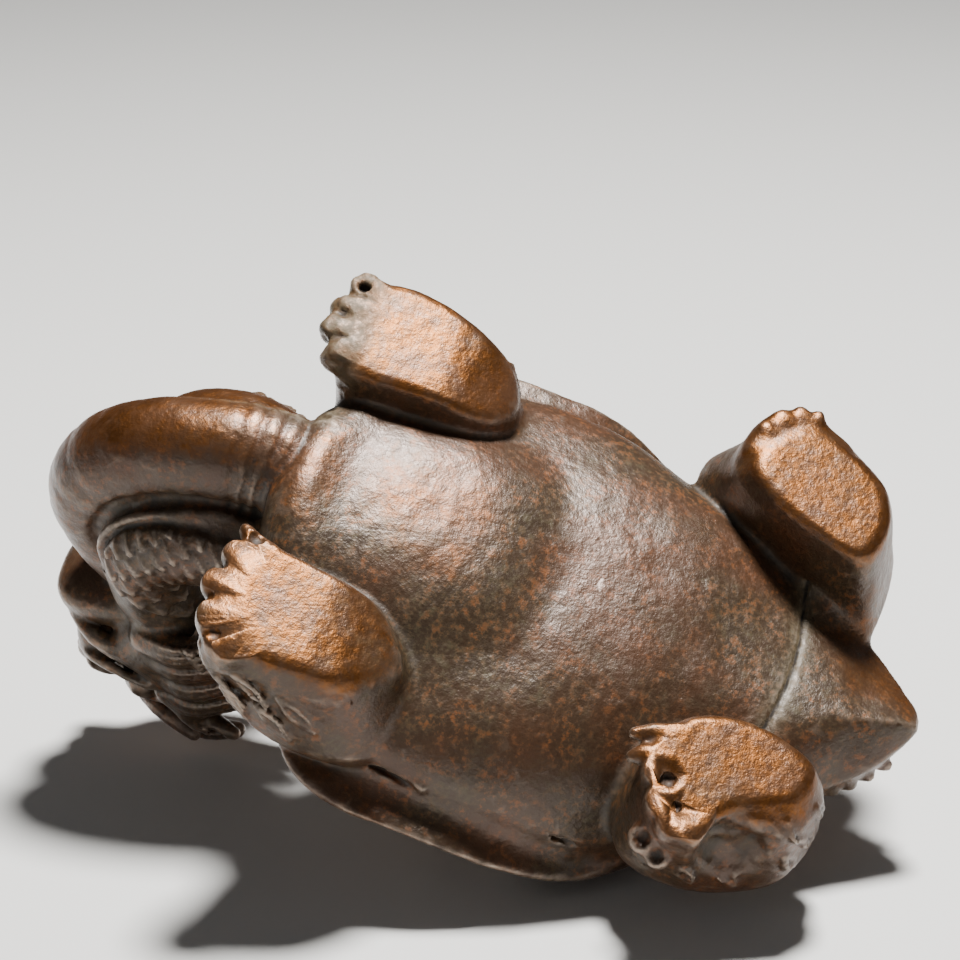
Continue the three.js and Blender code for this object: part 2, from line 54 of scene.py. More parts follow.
# Driving sizes, taken from the solid
node_low, node_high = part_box(NODE)
HALF_LENGTH = (node_high[1] - node_low[1]) / 2 / MM
RIM_HALF_WIDTH = (node_high[0] - node_low[0]) / 2 / MM
HEIGHT = (node_high[2] - node_low[2]) / MM
SHELL_TOP = HEIGHT * 34.5 / 53.8
RIM_HEIGHT = 15.5
BELLY_CLEARANCE = 4.3
NECK_RADIUS = 6.0
HEAD_CENTRE = np.array([-0.3, -34.5, HEIGHT - 11.8])
HEAD_PITCH = math.radians(20)
SIDES = (-1, 1)

CELL = 0.36  # spacing of the clay's samples, which sets how fine the mesh is
EMPTY = 6.0  # distance that untouched clay holds
LEAST_SLOPE = 0.012  # flatter fields are taken to be this steep
MOST_TRIANGLES = 194000
OWN_SHARE = 0.35  # how much of its own value a vertex keeps in each round of averaging
FINE_ROUNDS, BROAD_ROUNDS = 4, 40
SEED = 20


# Distance fields

def smooth_min(a, b, blend):
    """The lesser of two distances, with a fillet where they are within the blend of each other."""
    overlap = np.maximum(blend - np.abs(a - b), 0) / blend
    return np.minimum(a, b) - overlap * overlap * blend / 4


def smooth_max(a, b, blend):
    return -smooth_min(-a, -b, blend)


def step(values, first, last):
    """A smooth rise from 0 at first to 1 at last."""
    t = np.clip((values - first) / (last - first), 0, 1)
    return t * t * (3 - 2 * t)


def to_distance(field):
    """Turns a smooth field that is zero on the surface into a distance, by its own slope."""
    gx, gy, gz = np.gradient(field, CELL)
    slope = np.sqrt(gx * gx + gy * gy + gz * gz)
    return field / np.maximum(slope, LEAST_SLOPE)


class Clay:
    """A block of space on an even grid; every sample holds its distance to the surface, minus inside."""

    MARGIN = 1.6

    def __init__(self, low, high):
        self.low = np.array(low, float)
        count = np.ceil((np.array(high) - self.low) / CELL).astype(int) + 1
        self.dist = np.full(count, EMPTY, np.float32)

    def window(self, low, high, reach):
        first = np.floor((np.array(low) - reach - self.low) / CELL).astype(int)
        last = np.ceil((np.array(high) + reach - self.low) / CELL).astype(int) + 1
        first = np.clip(first, 0, self.dist.shape)
        last = np.clip(last, 0, self.dist.shape)
        where = tuple(slice(a, b) for a, b in zip(first, last))
        x, y, z = (self.low[i] + CELL * np.arange(first[i], last[i]) for i in range(3))
        return where, x[:, None, None], y[None, :, None], z[None, None, :]

    def add(self, shape, blend=0.8):
        low, high, distance = shape
        where, x, y, z = self.window(low, high, blend + self.MARGIN)
        self.dist[where] = smooth_min(self.dist[where], distance(x, y, z), blend)

    def carve(self, shape, blend=0.4):
        low, high, distance = shape
        where, x, y, z = self.window(low, high, blend + self.MARGIN)
        self.dist[where] = smooth_max(self.dist[where], -distance(x, y, z), blend)

    def sample(self, points):
        """Distance at any points, between the samples."""
        at = (points - self.low) / CELL
        cell = np.clip(np.floor(at).astype(int), 0, np.array(self.dist.shape) - 2)
        t = at - cell
        total = np.zeros(len(points))
        for corner in np.ndindex(2, 2, 2):
            weight = np.prod(np.where(np.array(corner), t, 1 - t), axis=1)
            i, j, k = (cell + np.array(corner)).T
            total += weight * self.dist[i, j, k]
        return total

    def slope(self, points):
        """The direction straight out of the surface at any points."""
        out = np.empty_like(points)
        for axis in range(3):
            shift = np.zeros(3)
            shift[axis] = 0.6 * CELL
            out[:, axis] = self.sample(points + shift) - self.sample(points - shift)
        return out / np.maximum(np.linalg.norm(out, axis=1, keepdims=True), 1e-9)


def lump(centre, size, power=2.0, turn=None):
    """An ellipsoid, or a box with round corners when power is over 2; turn is a 3 by 3 rotation."""
    centre, size = np.array(centre, float), np.array(size, float)
    extent = size if turn is None else np.full(3, np.linalg.norm(size))

    def distance(x, y, z):
        offset = (x - centre[0], y - centre[1], z - centre[2])
        if turn is not None:
            offset = tuple(sum(turn[j][i] * offset[j] for j in range(3)) for i in range(3))
        q = [np.abs(offset[i]) / size[i] for i in range(3)]
        norm = np.maximum(sum(v**power for v in q) ** (1 / power), 1e-4)
        slope = np.sqrt(sum((q[i] ** (power - 1) / size[i]) ** 2 for i in range(3))) * norm ** (1 - power)
        return (norm - 1) / np.maximum(slope, 1e-4)

    return centre - extent, centre + extent, distance


def catmull(a, b, c, d, t):
    """A place on the curve from b to c that also heeds the points before and after them."""
    return 0.5 * (2 * b + (c - a) * t + (2 * a - 5 * b + 4 * c - d) * t**2 + (3 * b - a - 3 * c + d) * t**3)


def smooth_path(points, count):
    """A Catmull-Rom curve through the points, as count points evenly spread over its parts."""
    p = np.array(points, float)
    padded = np.vstack([2 * p[0] - p[1], p, 2 * p[-1] - p[-2]])
    at = np.linspace(0, len(p) - 1, count)
    part = np.minimum(at.astype(int), len(p) - 2)
    t = (at - part)[:, None]
    return catmull(*(padded[part + k] for k in range(4)), t)


def stroke(points, radius_at, count=10, wide=1.0):
    """A round bar along a smooth curve: radius_at takes 0 to 1 along it, and wide stretches it in x."""
    path = smooth_path(points, count)
    path[:, 0] /= wide
    radii = np.array([radius_at(u) for u in np.linspace(0, 1, count)])
    most = radii.max()
    low = path.min(axis=0) - most
    high = path.max(axis=0) + most
    low[0] *= wide
    high[0] *= wide

    def distance(x, y, z):
        x = x / wide
        best = None
        for a, b, ra, rb in zip(path[:-1], path[1:], radii[:-1], radii[1:]):
            d = b - a
            along = ((x - a[0]) * d[0] + (y - a[1]) * d[1] + (z - a[2]) * d[2]) / max(d @ d, 1e-9)
            along = np.clip(along, 0, 1)
            off = (x - a[0] - along * d[0], y - a[1] - along * d[1], z - a[2] - along * d[2])
            gap = np.sqrt(off[0] ** 2 + off[1] ** 2 + off[2] ** 2) - (ra + (rb - ra) * along)
            best = gap if best is None else np.minimum(best, gap)
        return best

    return low, high, distance


def tapering(root, tip, power=1.3):
    return lambda u: root + (tip - root) * u**power


def even(radius):
    return lambda u: radius


# Surface of the clay as a mesh of quads

CORNERS = np.array(list(np.ndindex(2, 2, 2)))
EDGES = [(a, b) for a in range(8) for b in range(a + 1, 8) if np.abs(CORNERS[a] - CORNERS[b]).sum() == 1]


def skin_of(clay):
    """One vertex in every cell that the surface crosses, and one quad for every edge that it crosses."""
    inside = clay.dist < 0
    cells = tuple(n - 1 for n in inside.shape)
    count = np.zeros(cells, np.int8)
    for i, j, k in CORNERS:
        count += inside[i : i + cells[0], j : j + cells[1], k : k + cells[2]]
    active = np.argwhere((count > 0) & (count < 8))
    number = np.full(cells, -1, np.int32)
    number[tuple(active.T)] = np.arange(len(active))
    values = np.stack([clay.dist[tuple((active + c).T)] for c in CORNERS], axis=1)
    total = np.zeros((len(active), 3))
    crossings = np.zeros(len(active))
    for a, b in EDGES:
        va, vb = values[:, a], values[:, b]
        crossed = (va < 0) != (vb < 0)
        t = np.where(crossed, va / np.where(crossed, va - vb, 1), 0)
        place = CORNERS[a] + t[:, None] * (CORNERS[b] - CORNERS[a])
        total += place * crossed[:, None]
        crossings += crossed
    points = clay.low + CELL * (active + total / crossings[:, None])
    quads = [quads_across(inside, number, axis) for axis in range(3)]
    return points, np.concatenate(quads)


def quads_across(inside, number, axis):
    """The quads between cells that share a crossed edge along one axis."""
    ahead = np.roll(inside, -1, axis)
    crossed = inside != ahead
    edge = np.argwhere(crossed)
    other = [i for i in range(3) if i != axis]
    limits = np.array(number.shape)
    within = (edge[:, axis] < limits[axis]) & (edge[:, other] < limits[other]).all(1)
    edge = edge[within & (edge[:, other] > 0).all(1)]
    loop = []
    for du, dv in ((0, 0), (1, 0), (1, 1), (0, 1)):
        cell = edge.copy()
        cell[:, other[0]] -= du
        cell[:, other[1]] -= dv
        loop.append(number[tuple(cell.T)])
    quads = np.stack(loop, axis=1)
    leaving = inside[tuple(edge.T)]
    turned = leaving if axis == 1 else ~leaving
    quads[turned] = quads[turned][:, ::-1]
    return quads


def smooth_over(values, faces, rounds):
    """Averages a value at each vertex with its neighbours', over and over."""
    a = faces.ravel()
    b = np.roll(faces, -1, axis=1).ravel()
    degree = np.bincount(a, minlength=len(values)) + np.bincount(b, minlength=len(values))
    degree = np.maximum(degree, 1)
    for _ in range(rounds):
        columns = []
        for column in values.T:
            near = np.bincount(a, column[b], len(values)) + np.bincount(b, column[a], len(values))
            columns.append(OWN_SHARE * column + (1 - OWN_SHARE) * near / degree)
        values = np.stack(columns, axis=1)
    return values


def normals_of(points, faces):
    """Outward direction at each vertex, from faces of three or four corners."""
    across = points[faces[:, 2]] - points[faces[:, 0]]
    other = points[faces[:, -1]] - points[faces[:, 1]]
    face = np.cross(across, other)
    out = np.zeros_like(points)
    for corner in range(faces.shape[1]):
        for axis in range(3):
            out[:, axis] += np.bincount(faces[:, corner], face[:, axis], len(points))
    return out / np.maximum(np.linalg.norm(out, axis=1, keepdims=True), 1e-12)


NOISE_START = 200  # keeps the noise's cells above 0
SCATTER = (73856093, 19349663, 83492791)
SEED_SCATTER, LAST_SCATTER = 2654435761, 1274126177


def lattice_noise(points, size, seed):
    """Smooth noise from -1 to 1 with blobs of about the given size."""
    at = (points + NOISE_START) / size
    cell = np.floor(at).astype(int)
    t = at - cell
    t = t * t * (3 - 2 * t)
    total = np.zeros(len(points))
    for corner in CORNERS:
        i, j, k = (cell + corner).T
        mixed = (i * SCATTER[0]) ^ (j * SCATTER[1]) ^ (k * SCATTER[2]) ^ (seed * SEED_SCATTER)
        mixed = (mixed ^ (mixed >> 13)) * LAST_SCATTER & 0x7FFFFFFF
        value = (mixed & 0xFFFF) / 32767.5 - 1
        total += value * np.prod(np.where(corner, t, 1 - t), axis=1)
    return total


# Trunk: belly plate, rim and dome

DOME = {"width": 27.0, "length": 25.4, "front_length": 21.5, "y": 4.5, "base": 16.2, "power": 2.15}
BELLY = {"width": 26.4, "length": 29.6, "y": 4.8, "top": 13.8, "power": 2.45}
RIM = {"length": 27.5, "power": 2.2, "front_length": 23.5, "front_power": 4.0}
REAR_RISE = 5.5
REAR_RISE_END = 20.0
REACH_POWER = 0.85
BELLY_CURVE = 2 / 0.9

# Scutes lie on a square net from -1 to 1 that is drawn out to the dome's oval
SCUTE_RAISE = 1.6
NET_TO_MM = 26.0
SPINE_EDGE = 0.3
MARGIN_EDGE = 0.76
SPINE_CUTS = np.linspace(-0.45, 0.45, 4)
FLANK_CUTS = np.linspace(-0.3, 0.3, 3)
MARGIN_CUTS = np.sort(np.concatenate([SPINE_CUTS, FLANK_CUTS]))
ZIGZAG = 0.05
GROWTH_RING = 1.25
CREASE_HEIGHT = 12.9


def climb(y):
    """How far the rim climbs towards the rear, over the hind legs and the tail."""
    return REAR_RISE * np.clip(y / REAR_RISE_END, 0, 1) ** 1.8


def by_half(y, front, rear):
    """One value ahead of the shell's middle and another behind it."""
    return np.where(y < DOME["y"], front, rear)


def plan_norm(x, y, width, length, middle, power):
    return ((np.abs(x) / width) ** power + (np.abs(y - middle) / length) ** power) ** (1 / power)


def belly_distance(x, y, z):
    reach = plan_norm(x, y, BELLY["width"], BELLY["length"], BELLY["y"], BELLY["power"])
    height = z - 0.8 * climb(y) * np.clip(reach, 0, 1) ** 6
    deep = np.maximum(BELLY["top"] - height, 0) / (BELLY["top"] - BELLY_CLEARANCE)
    field = (deep**BELLY_CURVE + reach**BELLY_CURVE) ** (1 / BELLY_CURVE) - 1
    return smooth_max(to_distance(field), z - BELLY["top"] - 3 - climb(y), 0.6)


def rim_distance(x, y, z):
    length = by_half(y, RIM["front_length"], RIM["length"])
    reach = plan_norm(x, y, RIM_HALF_WIDTH, length, DOME["y"], by_half(y, RIM["front_power"], RIM["power"]))
    edge = to_distance(reach - 1 + 0 * z)
    thickness = 0.5 + 0.12 * np.clip(-edge, 0, 8)
    slab = np.abs(z - RIM_HEIGHT - climb(y)) - thickness
    return smooth_max(edge, slab, 0.5)


def nearest_gap(values, marks):
    return np.min([np.abs(values - mark) for mark in marks], axis=0)


def scute_depth(u, v):
    """Distance in millimetres from the nearest groove between scutes, for a place on the net."""
    swing = np.maximum(0, 1 - np.abs(np.abs(u) - SPINE_EDGE) / SPINE_EDGE)
    zigzag = np.cos(2 * np.pi * v / (FLANK_CUTS[1] - FLANK_CUTS[0]))
    inner = np.abs(v) < MARGIN_EDGE
    across = np.abs(u) - np.where(inner, ZIGZAG * swing * zigzag, 0)
    along = np.abs(v)
    to_margin = np.abs(np.maximum(across, along) - MARGIN_EDGE)
    to_spine_edge = np.abs(across - SPINE_EDGE)
    cuts = np.where(across < SPINE_EDGE, nearest_gap(v, SPINE_CUTS), nearest_gap(v, FLANK_CUTS))
    cuts = np.where(across > MARGIN_EDGE, nearest_gap(v, MARGIN_CUTS), cuts)
    end_cuts = np.minimum(to_spine_edge, np.abs(across - MARGIN_EDGE))
    in_ends = along > MARGIN_EDGE
    beside = np.where(across > MARGIN_EDGE, cuts, np.minimum(cuts, to_spine_edge))
    inside = np.where(in_ends, end_cuts, beside)
    return NET_TO_MM * np.minimum(inside, to_margin)


def dome_net(x, y, height, reach):
    """Where a place near the dome lies on the square net of the scutes."""
    from_top = np.arctan2(reach ** (1 / REACH_POWER), np.maximum(height, 0)) / (np.pi / 2)
    half = DOME["power"] / 2
    cosine = np.sign(x) * (np.abs(x) / DOME["width"]) ** half + 0 * y
    length = by_half(y, DOME["front_length"], DOME["length"])
    sine = np.sign(y - DOME["y"]) * (np.abs(y - DOME["y"]) / length) ** half + 0 * x
    longest = np.maximum(np.maximum(np.abs(cosine), np.abs(sine)), 1e-6)
    return from_top * cosine / longest, from_top * sine / longest


def dome_distance(x, y, z):
    length = by_half(y, DOME["front_length"], DOME["length"])
    reach = plan_norm(x, y, DOME["width"], length, DOME["y"], DOME["power"])
    bend = np.clip(reach, 0, 1) ** (2 / REACH_POWER)
    rise = SHELL_TOP - SCUTE_RAISE - DOME["base"]
    height = (z - climb(y) * bend - DOME["base"]) / rise
    field = np.sqrt(np.maximum(height, 0) ** 2 + reach ** (2 / REACH_POWER)) - 1
    depth = scute_depth(*dome_net(x, y, height, reach))
    raised = SCUTE_RAISE * (0.35 + 0.65 * step(depth, 0.1, 1.0))
    rings = 0.1 * np.cos(2 * np.pi * depth / GROWTH_RING) * step(depth, 0.8, 1.5)
    low_edge = np.clip(height / 0.36, 0, 1)
    skin = to_distance(field) - (raised + rings) * low_edge
    return smooth_max(skin, DOME["base"] - 0.5 - z, 0.6)


def add_trunk(clay):
    low = (-RIM_HALF_WIDTH, -27, 3)
    high = (RIM_HALF_WIDTH, 37, SHELL_TOP)
    clay.add((low, high, belly_distance), 0.5)
    clay.add(lump((1, -10.4, 9.6), (13.8, 15, 7.3), 2.7), 5)
    clay.add(lump((2, 19, 12.6), (16, 15.8, 6.3), 2.8), 4)
    clay.add((low, high, rim_distance), 2.6)
    clay.add((low, high, dome_distance), 0.7)
    add_plate_edge(clay)
    add_rim_hollows(clay)


def add_plate_edge(clay):
    """The belly plate's front edge, blunt and slightly swollen over the root of the neck."""
    share = np.linspace(-1, 1, 7)
    arc = np.stack([1 + 12.5 * share, -22.6 + 4.4 * share**2, 5.0 + 3.4 * share**2], axis=1)
    clay.add(stroke(arc, even(2.7), 14), 3.5)


def add_rim_hollows(clay):
    """Short rough creases with raised lips where the belly meets the underside of the rim, on both sides."""
    creases = (
        ((24.6, -10.2), (25.0, -6.4), (25.6, -2.8), (27.2, 0.6)),
        ((24.6, 3.0), (25.4, 5.4), (25.2, 8.2)),
        ((23.4, 11.6), (24.6, 14.6), (24.6, 18.6)),
    )
    for side in SIDES:
        for crease in creases:
            height = [CREASE_HEIGHT + 0.8 * climb(y) for _, y in crease]
            groove = [(side * x, y, z) for (x, y), z in zip(crease, height)]
            lip = [(side * (x - 0.9), y, z - 0.5) for (x, y), z in zip(crease, height)]
            clay.add(stroke(lip, lambda u: 0.35 + 0.3 * math.sin(math.pi * u), 9), 0.9)
            clay.carve(stroke(groove, tapering(0.75, 0.3), 9), 0.25)
        clay.carve(lump((side * 26.2, -11.5, 13.2), (2.6, 3.4, 1.4)), 1.2)


# Tail

SEAM_Y = 35.5
SEAM_WIDTH, SEAM_DEPTH, SEAM_DUST_WIDTH = 0.3, 0.4, 1.6
TAIL_LENGTH = 25
TAIL_SCALE_SPACING = 1.7
# Distance from the tip, half width, underside height and upper height.
TAIL_PROFILE = np.array([
    [0, 0.5, 9.6, 10.8],
    [1, 2.2, 8.7, 12.4],
    [3, 5, 8, 15.4],
    [6, 8.2, 7.5, 18],
    [9.5, 10.8, 7.2, 19.8],
    [13, 12.5, 7.1, 20.5],
    [16.2, 13.2, 6.9, 20],
    [19, 13.6, 6.9, 20],
    [25, 13, 7.6, 19],
])


def keel_line(y):
    """The keel below the tail runs a little to the turtle's right of the middle, as in the photograph."""
    return -4.6 + 3.8 * np.clip((y - 39) / 12, 0, 1)


def tail_distance(x, y, z):
    from_tip = HALF_LENGTH - y
    half_width, under, upper = (
        np.interp(from_tip, TAIL_PROFILE[:, 0], TAIL_PROFILE[:, i]) for i in (1, 2, 3)
    )
    middle = under + (upper - under) * 0.45
    rise = z - middle
    keel = np.minimum(np.maximum(keel_line(y), -0.7 * half_width), 0)
    off_keel = np.where(x > keel, (x - keel) / (half_width - keel), (keel - x) / (half_width + keel))
    bend = 1.12 + 0.75 * step(from_tip, 6, 15)
    below = (np.abs(off_keel) ** bend + np.abs(rise / (middle - under)) ** bend) ** (1 / bend)
    above = ((np.abs(x) / half_width) ** 2.2 + np.abs(rise / (upper - middle)) ** 2.2) ** (1 / 2.2)
    blend = step(rise, -1.2, 1.2)
    field = (below + (above - below) * blend - 1) * np.minimum(half_width, 6)
    field = smooth_max(field, y - HALF_LENGTH + 0.4, 1.2)
    return smooth_max(to_distance(field), (HALF_LENGTH - TAIL_LENGTH) - y, 0.5)


def add_tail(clay):
    clay.add(((-14, HALF_LENGTH - TAIL_LENGTH - 1, 6), (14, HALF_LENGTH, 22), tail_distance), 3.0)
    for side in SIDES:
        clay.add(lump((side * 11, 35.6, 13), (4, 4.2, 4)), 2)
    add_tail_scales(clay)


def add_tail_scales(clay):
    """Low ragged scales along the edge of the tail's upper side."""
    for side in SIDES:
        for y in np.arange(38.5, 49, TAIL_SCALE_SPACING):
            half_width = np.interp(HALF_LENGTH - y, TAIL_PROFILE[:, 0], TAIL_PROFILE[:, 1])
            centre = (side * (half_width - 0.9), y, 15.2 - 0.1 * (y - 38))
            clay.add(lump(centre, (0.7, 1.3, 0.9), 2.2), 0.6)


# Legs

# Closed outlines of each leg seen from above, at three levels, from the front corner on the belly's side
# round the toes to the heel. The heel of a front foot curves up behind the flat of its sole. A toe is given
# by its place, a ring or pit by its place and radius, and a flame by how far round the leg and how high.
NO_HEEL = 60  # further back than any leg reaches
LEGS = (
    {
        "sole": [(14.4, -22.6), (20.5, -24.2), (26.4, -22.2), (27, -15.5), (23.4, -7.4), (18.2, -3.8),
            (14.4, -6.8), (13.8, -14.5)],
        "ankle": [(13.9, -22.9), (20.5, -24.6), (27.2, -22.2), (28, -15), (24.6, -6.2), (18.4, -2.8),
            (14, -6.2), (13.4, -14.2)],
        "hip": [(12.6, -21.3), (19.2, -22.4), (26.6, -19.5), (28.6, -12.5), (26, -4.6), (19, -1.4),
            (13.6, -4.8), (12.4, -13)],
        "toes": [(16.1, -24), (19.3, -25.2), (22.6, -25), (25.5, -23.6)],
        "toe_scale": 1.0,
        "toe_height": 1.9,
        "slots": True,  # only this leg's toes are cut apart
        "rings": [((25.5, -23.9), 0.95)],
        "flames": [(0.27, 3), (0.33, 6.4), (0.38, 3.2), (0.45, 6), (0.52, 3.4), (0.58, 6.6)],
        "heel_start": -12.5,
        "top": 18,
    },
    {
        "sole": [(-11.2, -25), (-17.5, -27), (-24.4, -26), (-24.4, -20.2), (-23.4, -11.6), (-18.4, -8),
            (-13.2, -11.4), (-11.2, -18)],
        "ankle": [(-10.7, -24.8), (-17.5, -27.2), (-25.2, -25.6), (-25.4, -19.6), (-24.8, -10.8),
            (-18.6, -6.4), (-12.6, -9.8), (-10.8, -17.4)],
        "hip": [(-10.5, -22), (-18, -23.6), (-25, -21), (-27.2, -14), (-26, -6.4), (-19, -2.6), (-12.4, -5),
            (-10.6, -13)],
        "toes": [(-13.2, -26.2), (-17.2, -27.0), (-21.2, -26.2), (-24.0, -23.4)],
        "toe_scale": 0.92,
        "toe_height": 0.9,
        "pits": [((-10.6, -25.0), 0.9), ((-15.1, -27.4), 0.6), ((-19.2, -27.6), 0.95), ((-23.4, -25.4), 1.0)],
        "claws": [[(-11.6, -23.4, 1.3), (-10.6, -25.2, 1.2), (-9.5, -26.4, 1.3)]],
        "flames": [(0.22, 2.2), (0.27, 4.6), (0.25, 7.2), (0.33, 2.8), (0.34, 6.8), (0.40, 4.4)],
        "heel_start": -16,
        "top": 18,
    },
    {
        "sole": [(19.2, 24.6), (24.2, 26), (27, 29.4), (26, 33.6), (22.6, 39), (17.2, 40.6), (12.4, 38.4),
            (14.4, 31)],
        "ankle": [(19.4, 23), (25.6, 23.4), (29.2, 28.4), (28.4, 34.4), (23.8, 40.2), (17.4, 41.8),
            (11.8, 39.4), (14, 30.6)],
        "hip": [(19.8, 21.2), (25.2, 19.8), (28.8, 24.6), (29.2, 33), (26, 41.2), (18.6, 44.4), (10, 42.6),
            (12.7, 33)],
        "toes": [(25.3, 24.3), (27.6, 25.9), (29.2, 27.9), (29.6, 30.0)],
        "toe_scale": 0.42,
        "toe_height": 1.0,
        "flames": [(0.36, 4), (0.42, 7), (0.48, 4)],
        "heel_start": NO_HEEL,
        "top": 20,
    },
    {
        "sole": [(-14.2, 24.8), (-20.2, 23), (-26.8, 25.2), (-28, 29), (-22.8, 32), (-19.8, 38),
            (-14.6, 38.8), (-12.2, 31.5)],
        "ankle": [(-13.6, 24), (-20.4, 21.8), (-27, 24.2), (-28.6, 29), (-25, 33.4), (-21.4, 39.8),
            (-14.6, 40.6), (-11.8, 31.5)],
        "hip": [(-12.8, 22.8), (-19.6, 20.6), (-25.6, 22.6), (-27.6, 29), (-26.2, 35.4), (-22.2, 40.8),
            (-13.6, 42.6), (-10.8, 33)],
        "toes": [(-21.6, 23.2), (-24.8, 24.4), (-27.0, 26.4), (-26.4, 28.6)],
        "toe_scale": 0.85,
        "toe_height": 0.8,
        "pits": [((-22.3, 24.6), 1.0), ((-25.0, 26.1), 0.85), ((-18.3, 21.6), 0.6)],
        "claws": [[(-16.4, 23.8, 1.4), (-16.8, 21.8, 1.3), (-17.6, 19.9, 1.3)], [(-19.0, 23.2, 1.4),
            (-19.6, 21.6, 1.4), (-20.2, 20.4, 1.6)]],
        "flames": [(0.60, 1.6), (0.64, 4.8), (0.68, 2.6), (0.60, 6.6), (0.38, 6.8), (0.47, 7.2)],
        "heel_start": NO_HEEL,
        "top": 20,
    },
)
ANKLE_HEIGHT = 3.0
HIP_HEIGHT = 11.0
HEEL_RISE = 2.6
HEEL_LENGTH = 9.0
TOE_SIZE = np.array([1.75, 2.3, 1.9])
CLAW_ROOT, CLAW_TIP = 1.5, 0.7
RING_DEPTH, PIT_DEPTH = 1.1, 0.75
RING_POINTS = 48


def closed_ring(outline):
    """A smooth closed curve through an outline's points."""
    p = np.array(outline, float)
    at = np.linspace(0, len(p), RING_POINTS, endpoint=False)
    part = at.astype(int)
    t = (at - part)[:, None]
    return catmull(*(p[(part + k) % len(p)] for k in (-1, 0, 1, 2)), t)


def inside_ring(ring, x, y):
    """Signed distance in plan to a closed ring, minus inside."""
    nearest = np.full(np.broadcast(x, y).shape, 1e9)
    crossed = np.zeros(nearest.shape, bool)
    for a, b in zip(ring, np.roll(ring, -1, axis=0)):
        d = b - a
        t = np.clip(((x - a[0]) * d[0] + (y - a[1]) * d[1]) / (d @ d), 0, 1)
        nearest = np.minimum(nearest, (x - a[0] - t * d[0]) ** 2 + (y - a[1] - t * d[1]) ** 2)
        spans = (a[1] > y) != (b[1] > y)
        crossed ^= spans & (x < a[0] + (y - a[1]) * d[0] / (d[1] if d[1] else 1e-9))
    return np.sqrt(nearest) * np.where(crossed, -1, 1)


def rings_of(leg):
    return [closed_ring(leg[name]) for name in ("sole", "ankle", "hip")]


def leg_distance(leg):
    rings = rings_of(leg)

    def distance(x, y, z):
        sole, ankle, hip = (inside_ring(ring, x, y) for ring in rings)
        low = np.clip(z / ANKLE_HEIGHT, 0, 1)
        high = np.clip((z - ANKLE_HEIGHT) / (HIP_HEIGHT - ANKLE_HEIGHT), 0, 1)
        column = (sole + (ankle - sole) * low) * (1 - high) + hip * high
        column = column + 6 * np.clip((z - HIP_HEIGHT) / (leg["top"] - HIP_HEIGHT), 0, 1) ** 2
        heel = HEEL_RISE * (np.maximum(y - leg["heel_start"], 0) / HEEL_LENGTH) ** 1.6
        column = smooth_max(column, heel - z, 1.3)
        return smooth_max(column, z - leg["top"], 3)

    return distance


def on_leg(leg, around, height):
    """A place on the leg's side: around is 0 to 1 from the inner front corner by way of the toes."""
    at = around * RING_POINTS
    first = int(at) % RING_POINTS
    after = (first + 1) % RING_POINTS
    share = at - int(at)
    sole, ankle, hip = (ring[first] * (1 - share) + ring[after] * share for ring in rings_of(leg))
    low = min(height / ANKLE_HEIGHT, 1)
    high = max(0, min((height - ANKLE_HEIGHT) / (HIP_HEIGHT - ANKLE_HEIGHT), 1))
    x, y = (sole * (1 - low) + ankle * low) * (1 - high) + hip * high
    return np.array([x, y, height])


def toe_directions(leg):
    """Each toe's middle on the ground, the way it points and the way across it."""
    middle = closed_ring(leg["hip"]).mean(axis=0)
    for x, y in leg["toes"]:
        ahead = np.array([x, y]) - middle
        ahead /= np.linalg.norm(ahead)
        yield np.array([x, y, 0]), np.array([*ahead, 0]), np.array([-ahead[1], ahead[0], 0])


def add_toes(clay, leg):
    size = TOE_SIZE * leg["toe_scale"]
    toes = list(toe_directions(leg))
    for place, ahead, across in toes:
        turn = np.array([across, ahead, [0, 0, 1]]).T
        clay.add(lump(place - ahead * 0.4 + (0, 0, leg["toe_height"]), size, 2.6, turn), 1.2)
    if leg.get("slots"):
        for (one, ahead, _), (other, _, _) in zip(toes[:-1], toes[1:]):
            add_slot(clay, (one + other) / 2, ahead)
    for claw in leg.get("claws", ()):
        clay.add(stroke(claw, tapering(CLAW_ROOT, CLAW_TIP), 9), 0.9)
    for (x, y), radius in leg.get("rings", ()):
        clay.add(lump((x, y, 0.6), (1.6 * radius, 1.6 * radius, 0.65)), 0.3)
        clay.carve(lump((x, y, 0), (radius, radius, RING_DEPTH)), 0.2)
    for (x, y), radius in leg.get("pits", ()):
        clay.carve(lump((x, y, 0), (radius, radius, PIT_DEPTH)), 0.25)


def add_slot(clay, gap, ahead):
    """The cut between two toes, below and in front."""
    below = [gap + ahead * far + (0, 0, z) for far, z in ((2.4, 0.6), (0.4, 0.1), (-0.9, -0.1))]
    clay.carve(stroke(below, tapering(0.6, 0.35), 5), 0.25)
    front = [gap + ahead * far + (0, 0, z) for far, z in ((1.8, 0.4), (1.5, 2.6), (-0.6, 5))]
    clay.carve(stroke(front, tapering(0.55, 0.25), 6), 0.4)


FLAME_LENGTH = 3.4
FLAME_WIDTH = 1.7
FLAME_LEAN = 0.035  # how far round the leg a flame's tip lies from its base


def add_flame(clay, leg, around, height):
    """A small flame-shaped leaf: a thin raised outline that rises from its base on the leg's side."""
    start = on_leg(leg, around, height)
    end = on_leg(leg, around + FLAME_LEAN, height + FLAME_LENGTH)
    middle = on_leg(leg, around + FLAME_LEAN / 2, height + FLAME_LENGTH / 2)
    outward = middle - on_leg(leg, around + 0.5, height + FLAME_LENGTH / 2)
    outward[2] = 0
    outward /= np.linalg.norm(outward)
    aside = np.cross((end - start) / np.linalg.norm(end - start), outward)
    for side in SIDES:
        bulge = middle + aside * side * FLAME_WIDTH / 2 + outward * 0.12
        clay.add(stroke([start, bulge, end + outward * 0.1], tapering(0.32, 0.24), 7), 0.35)


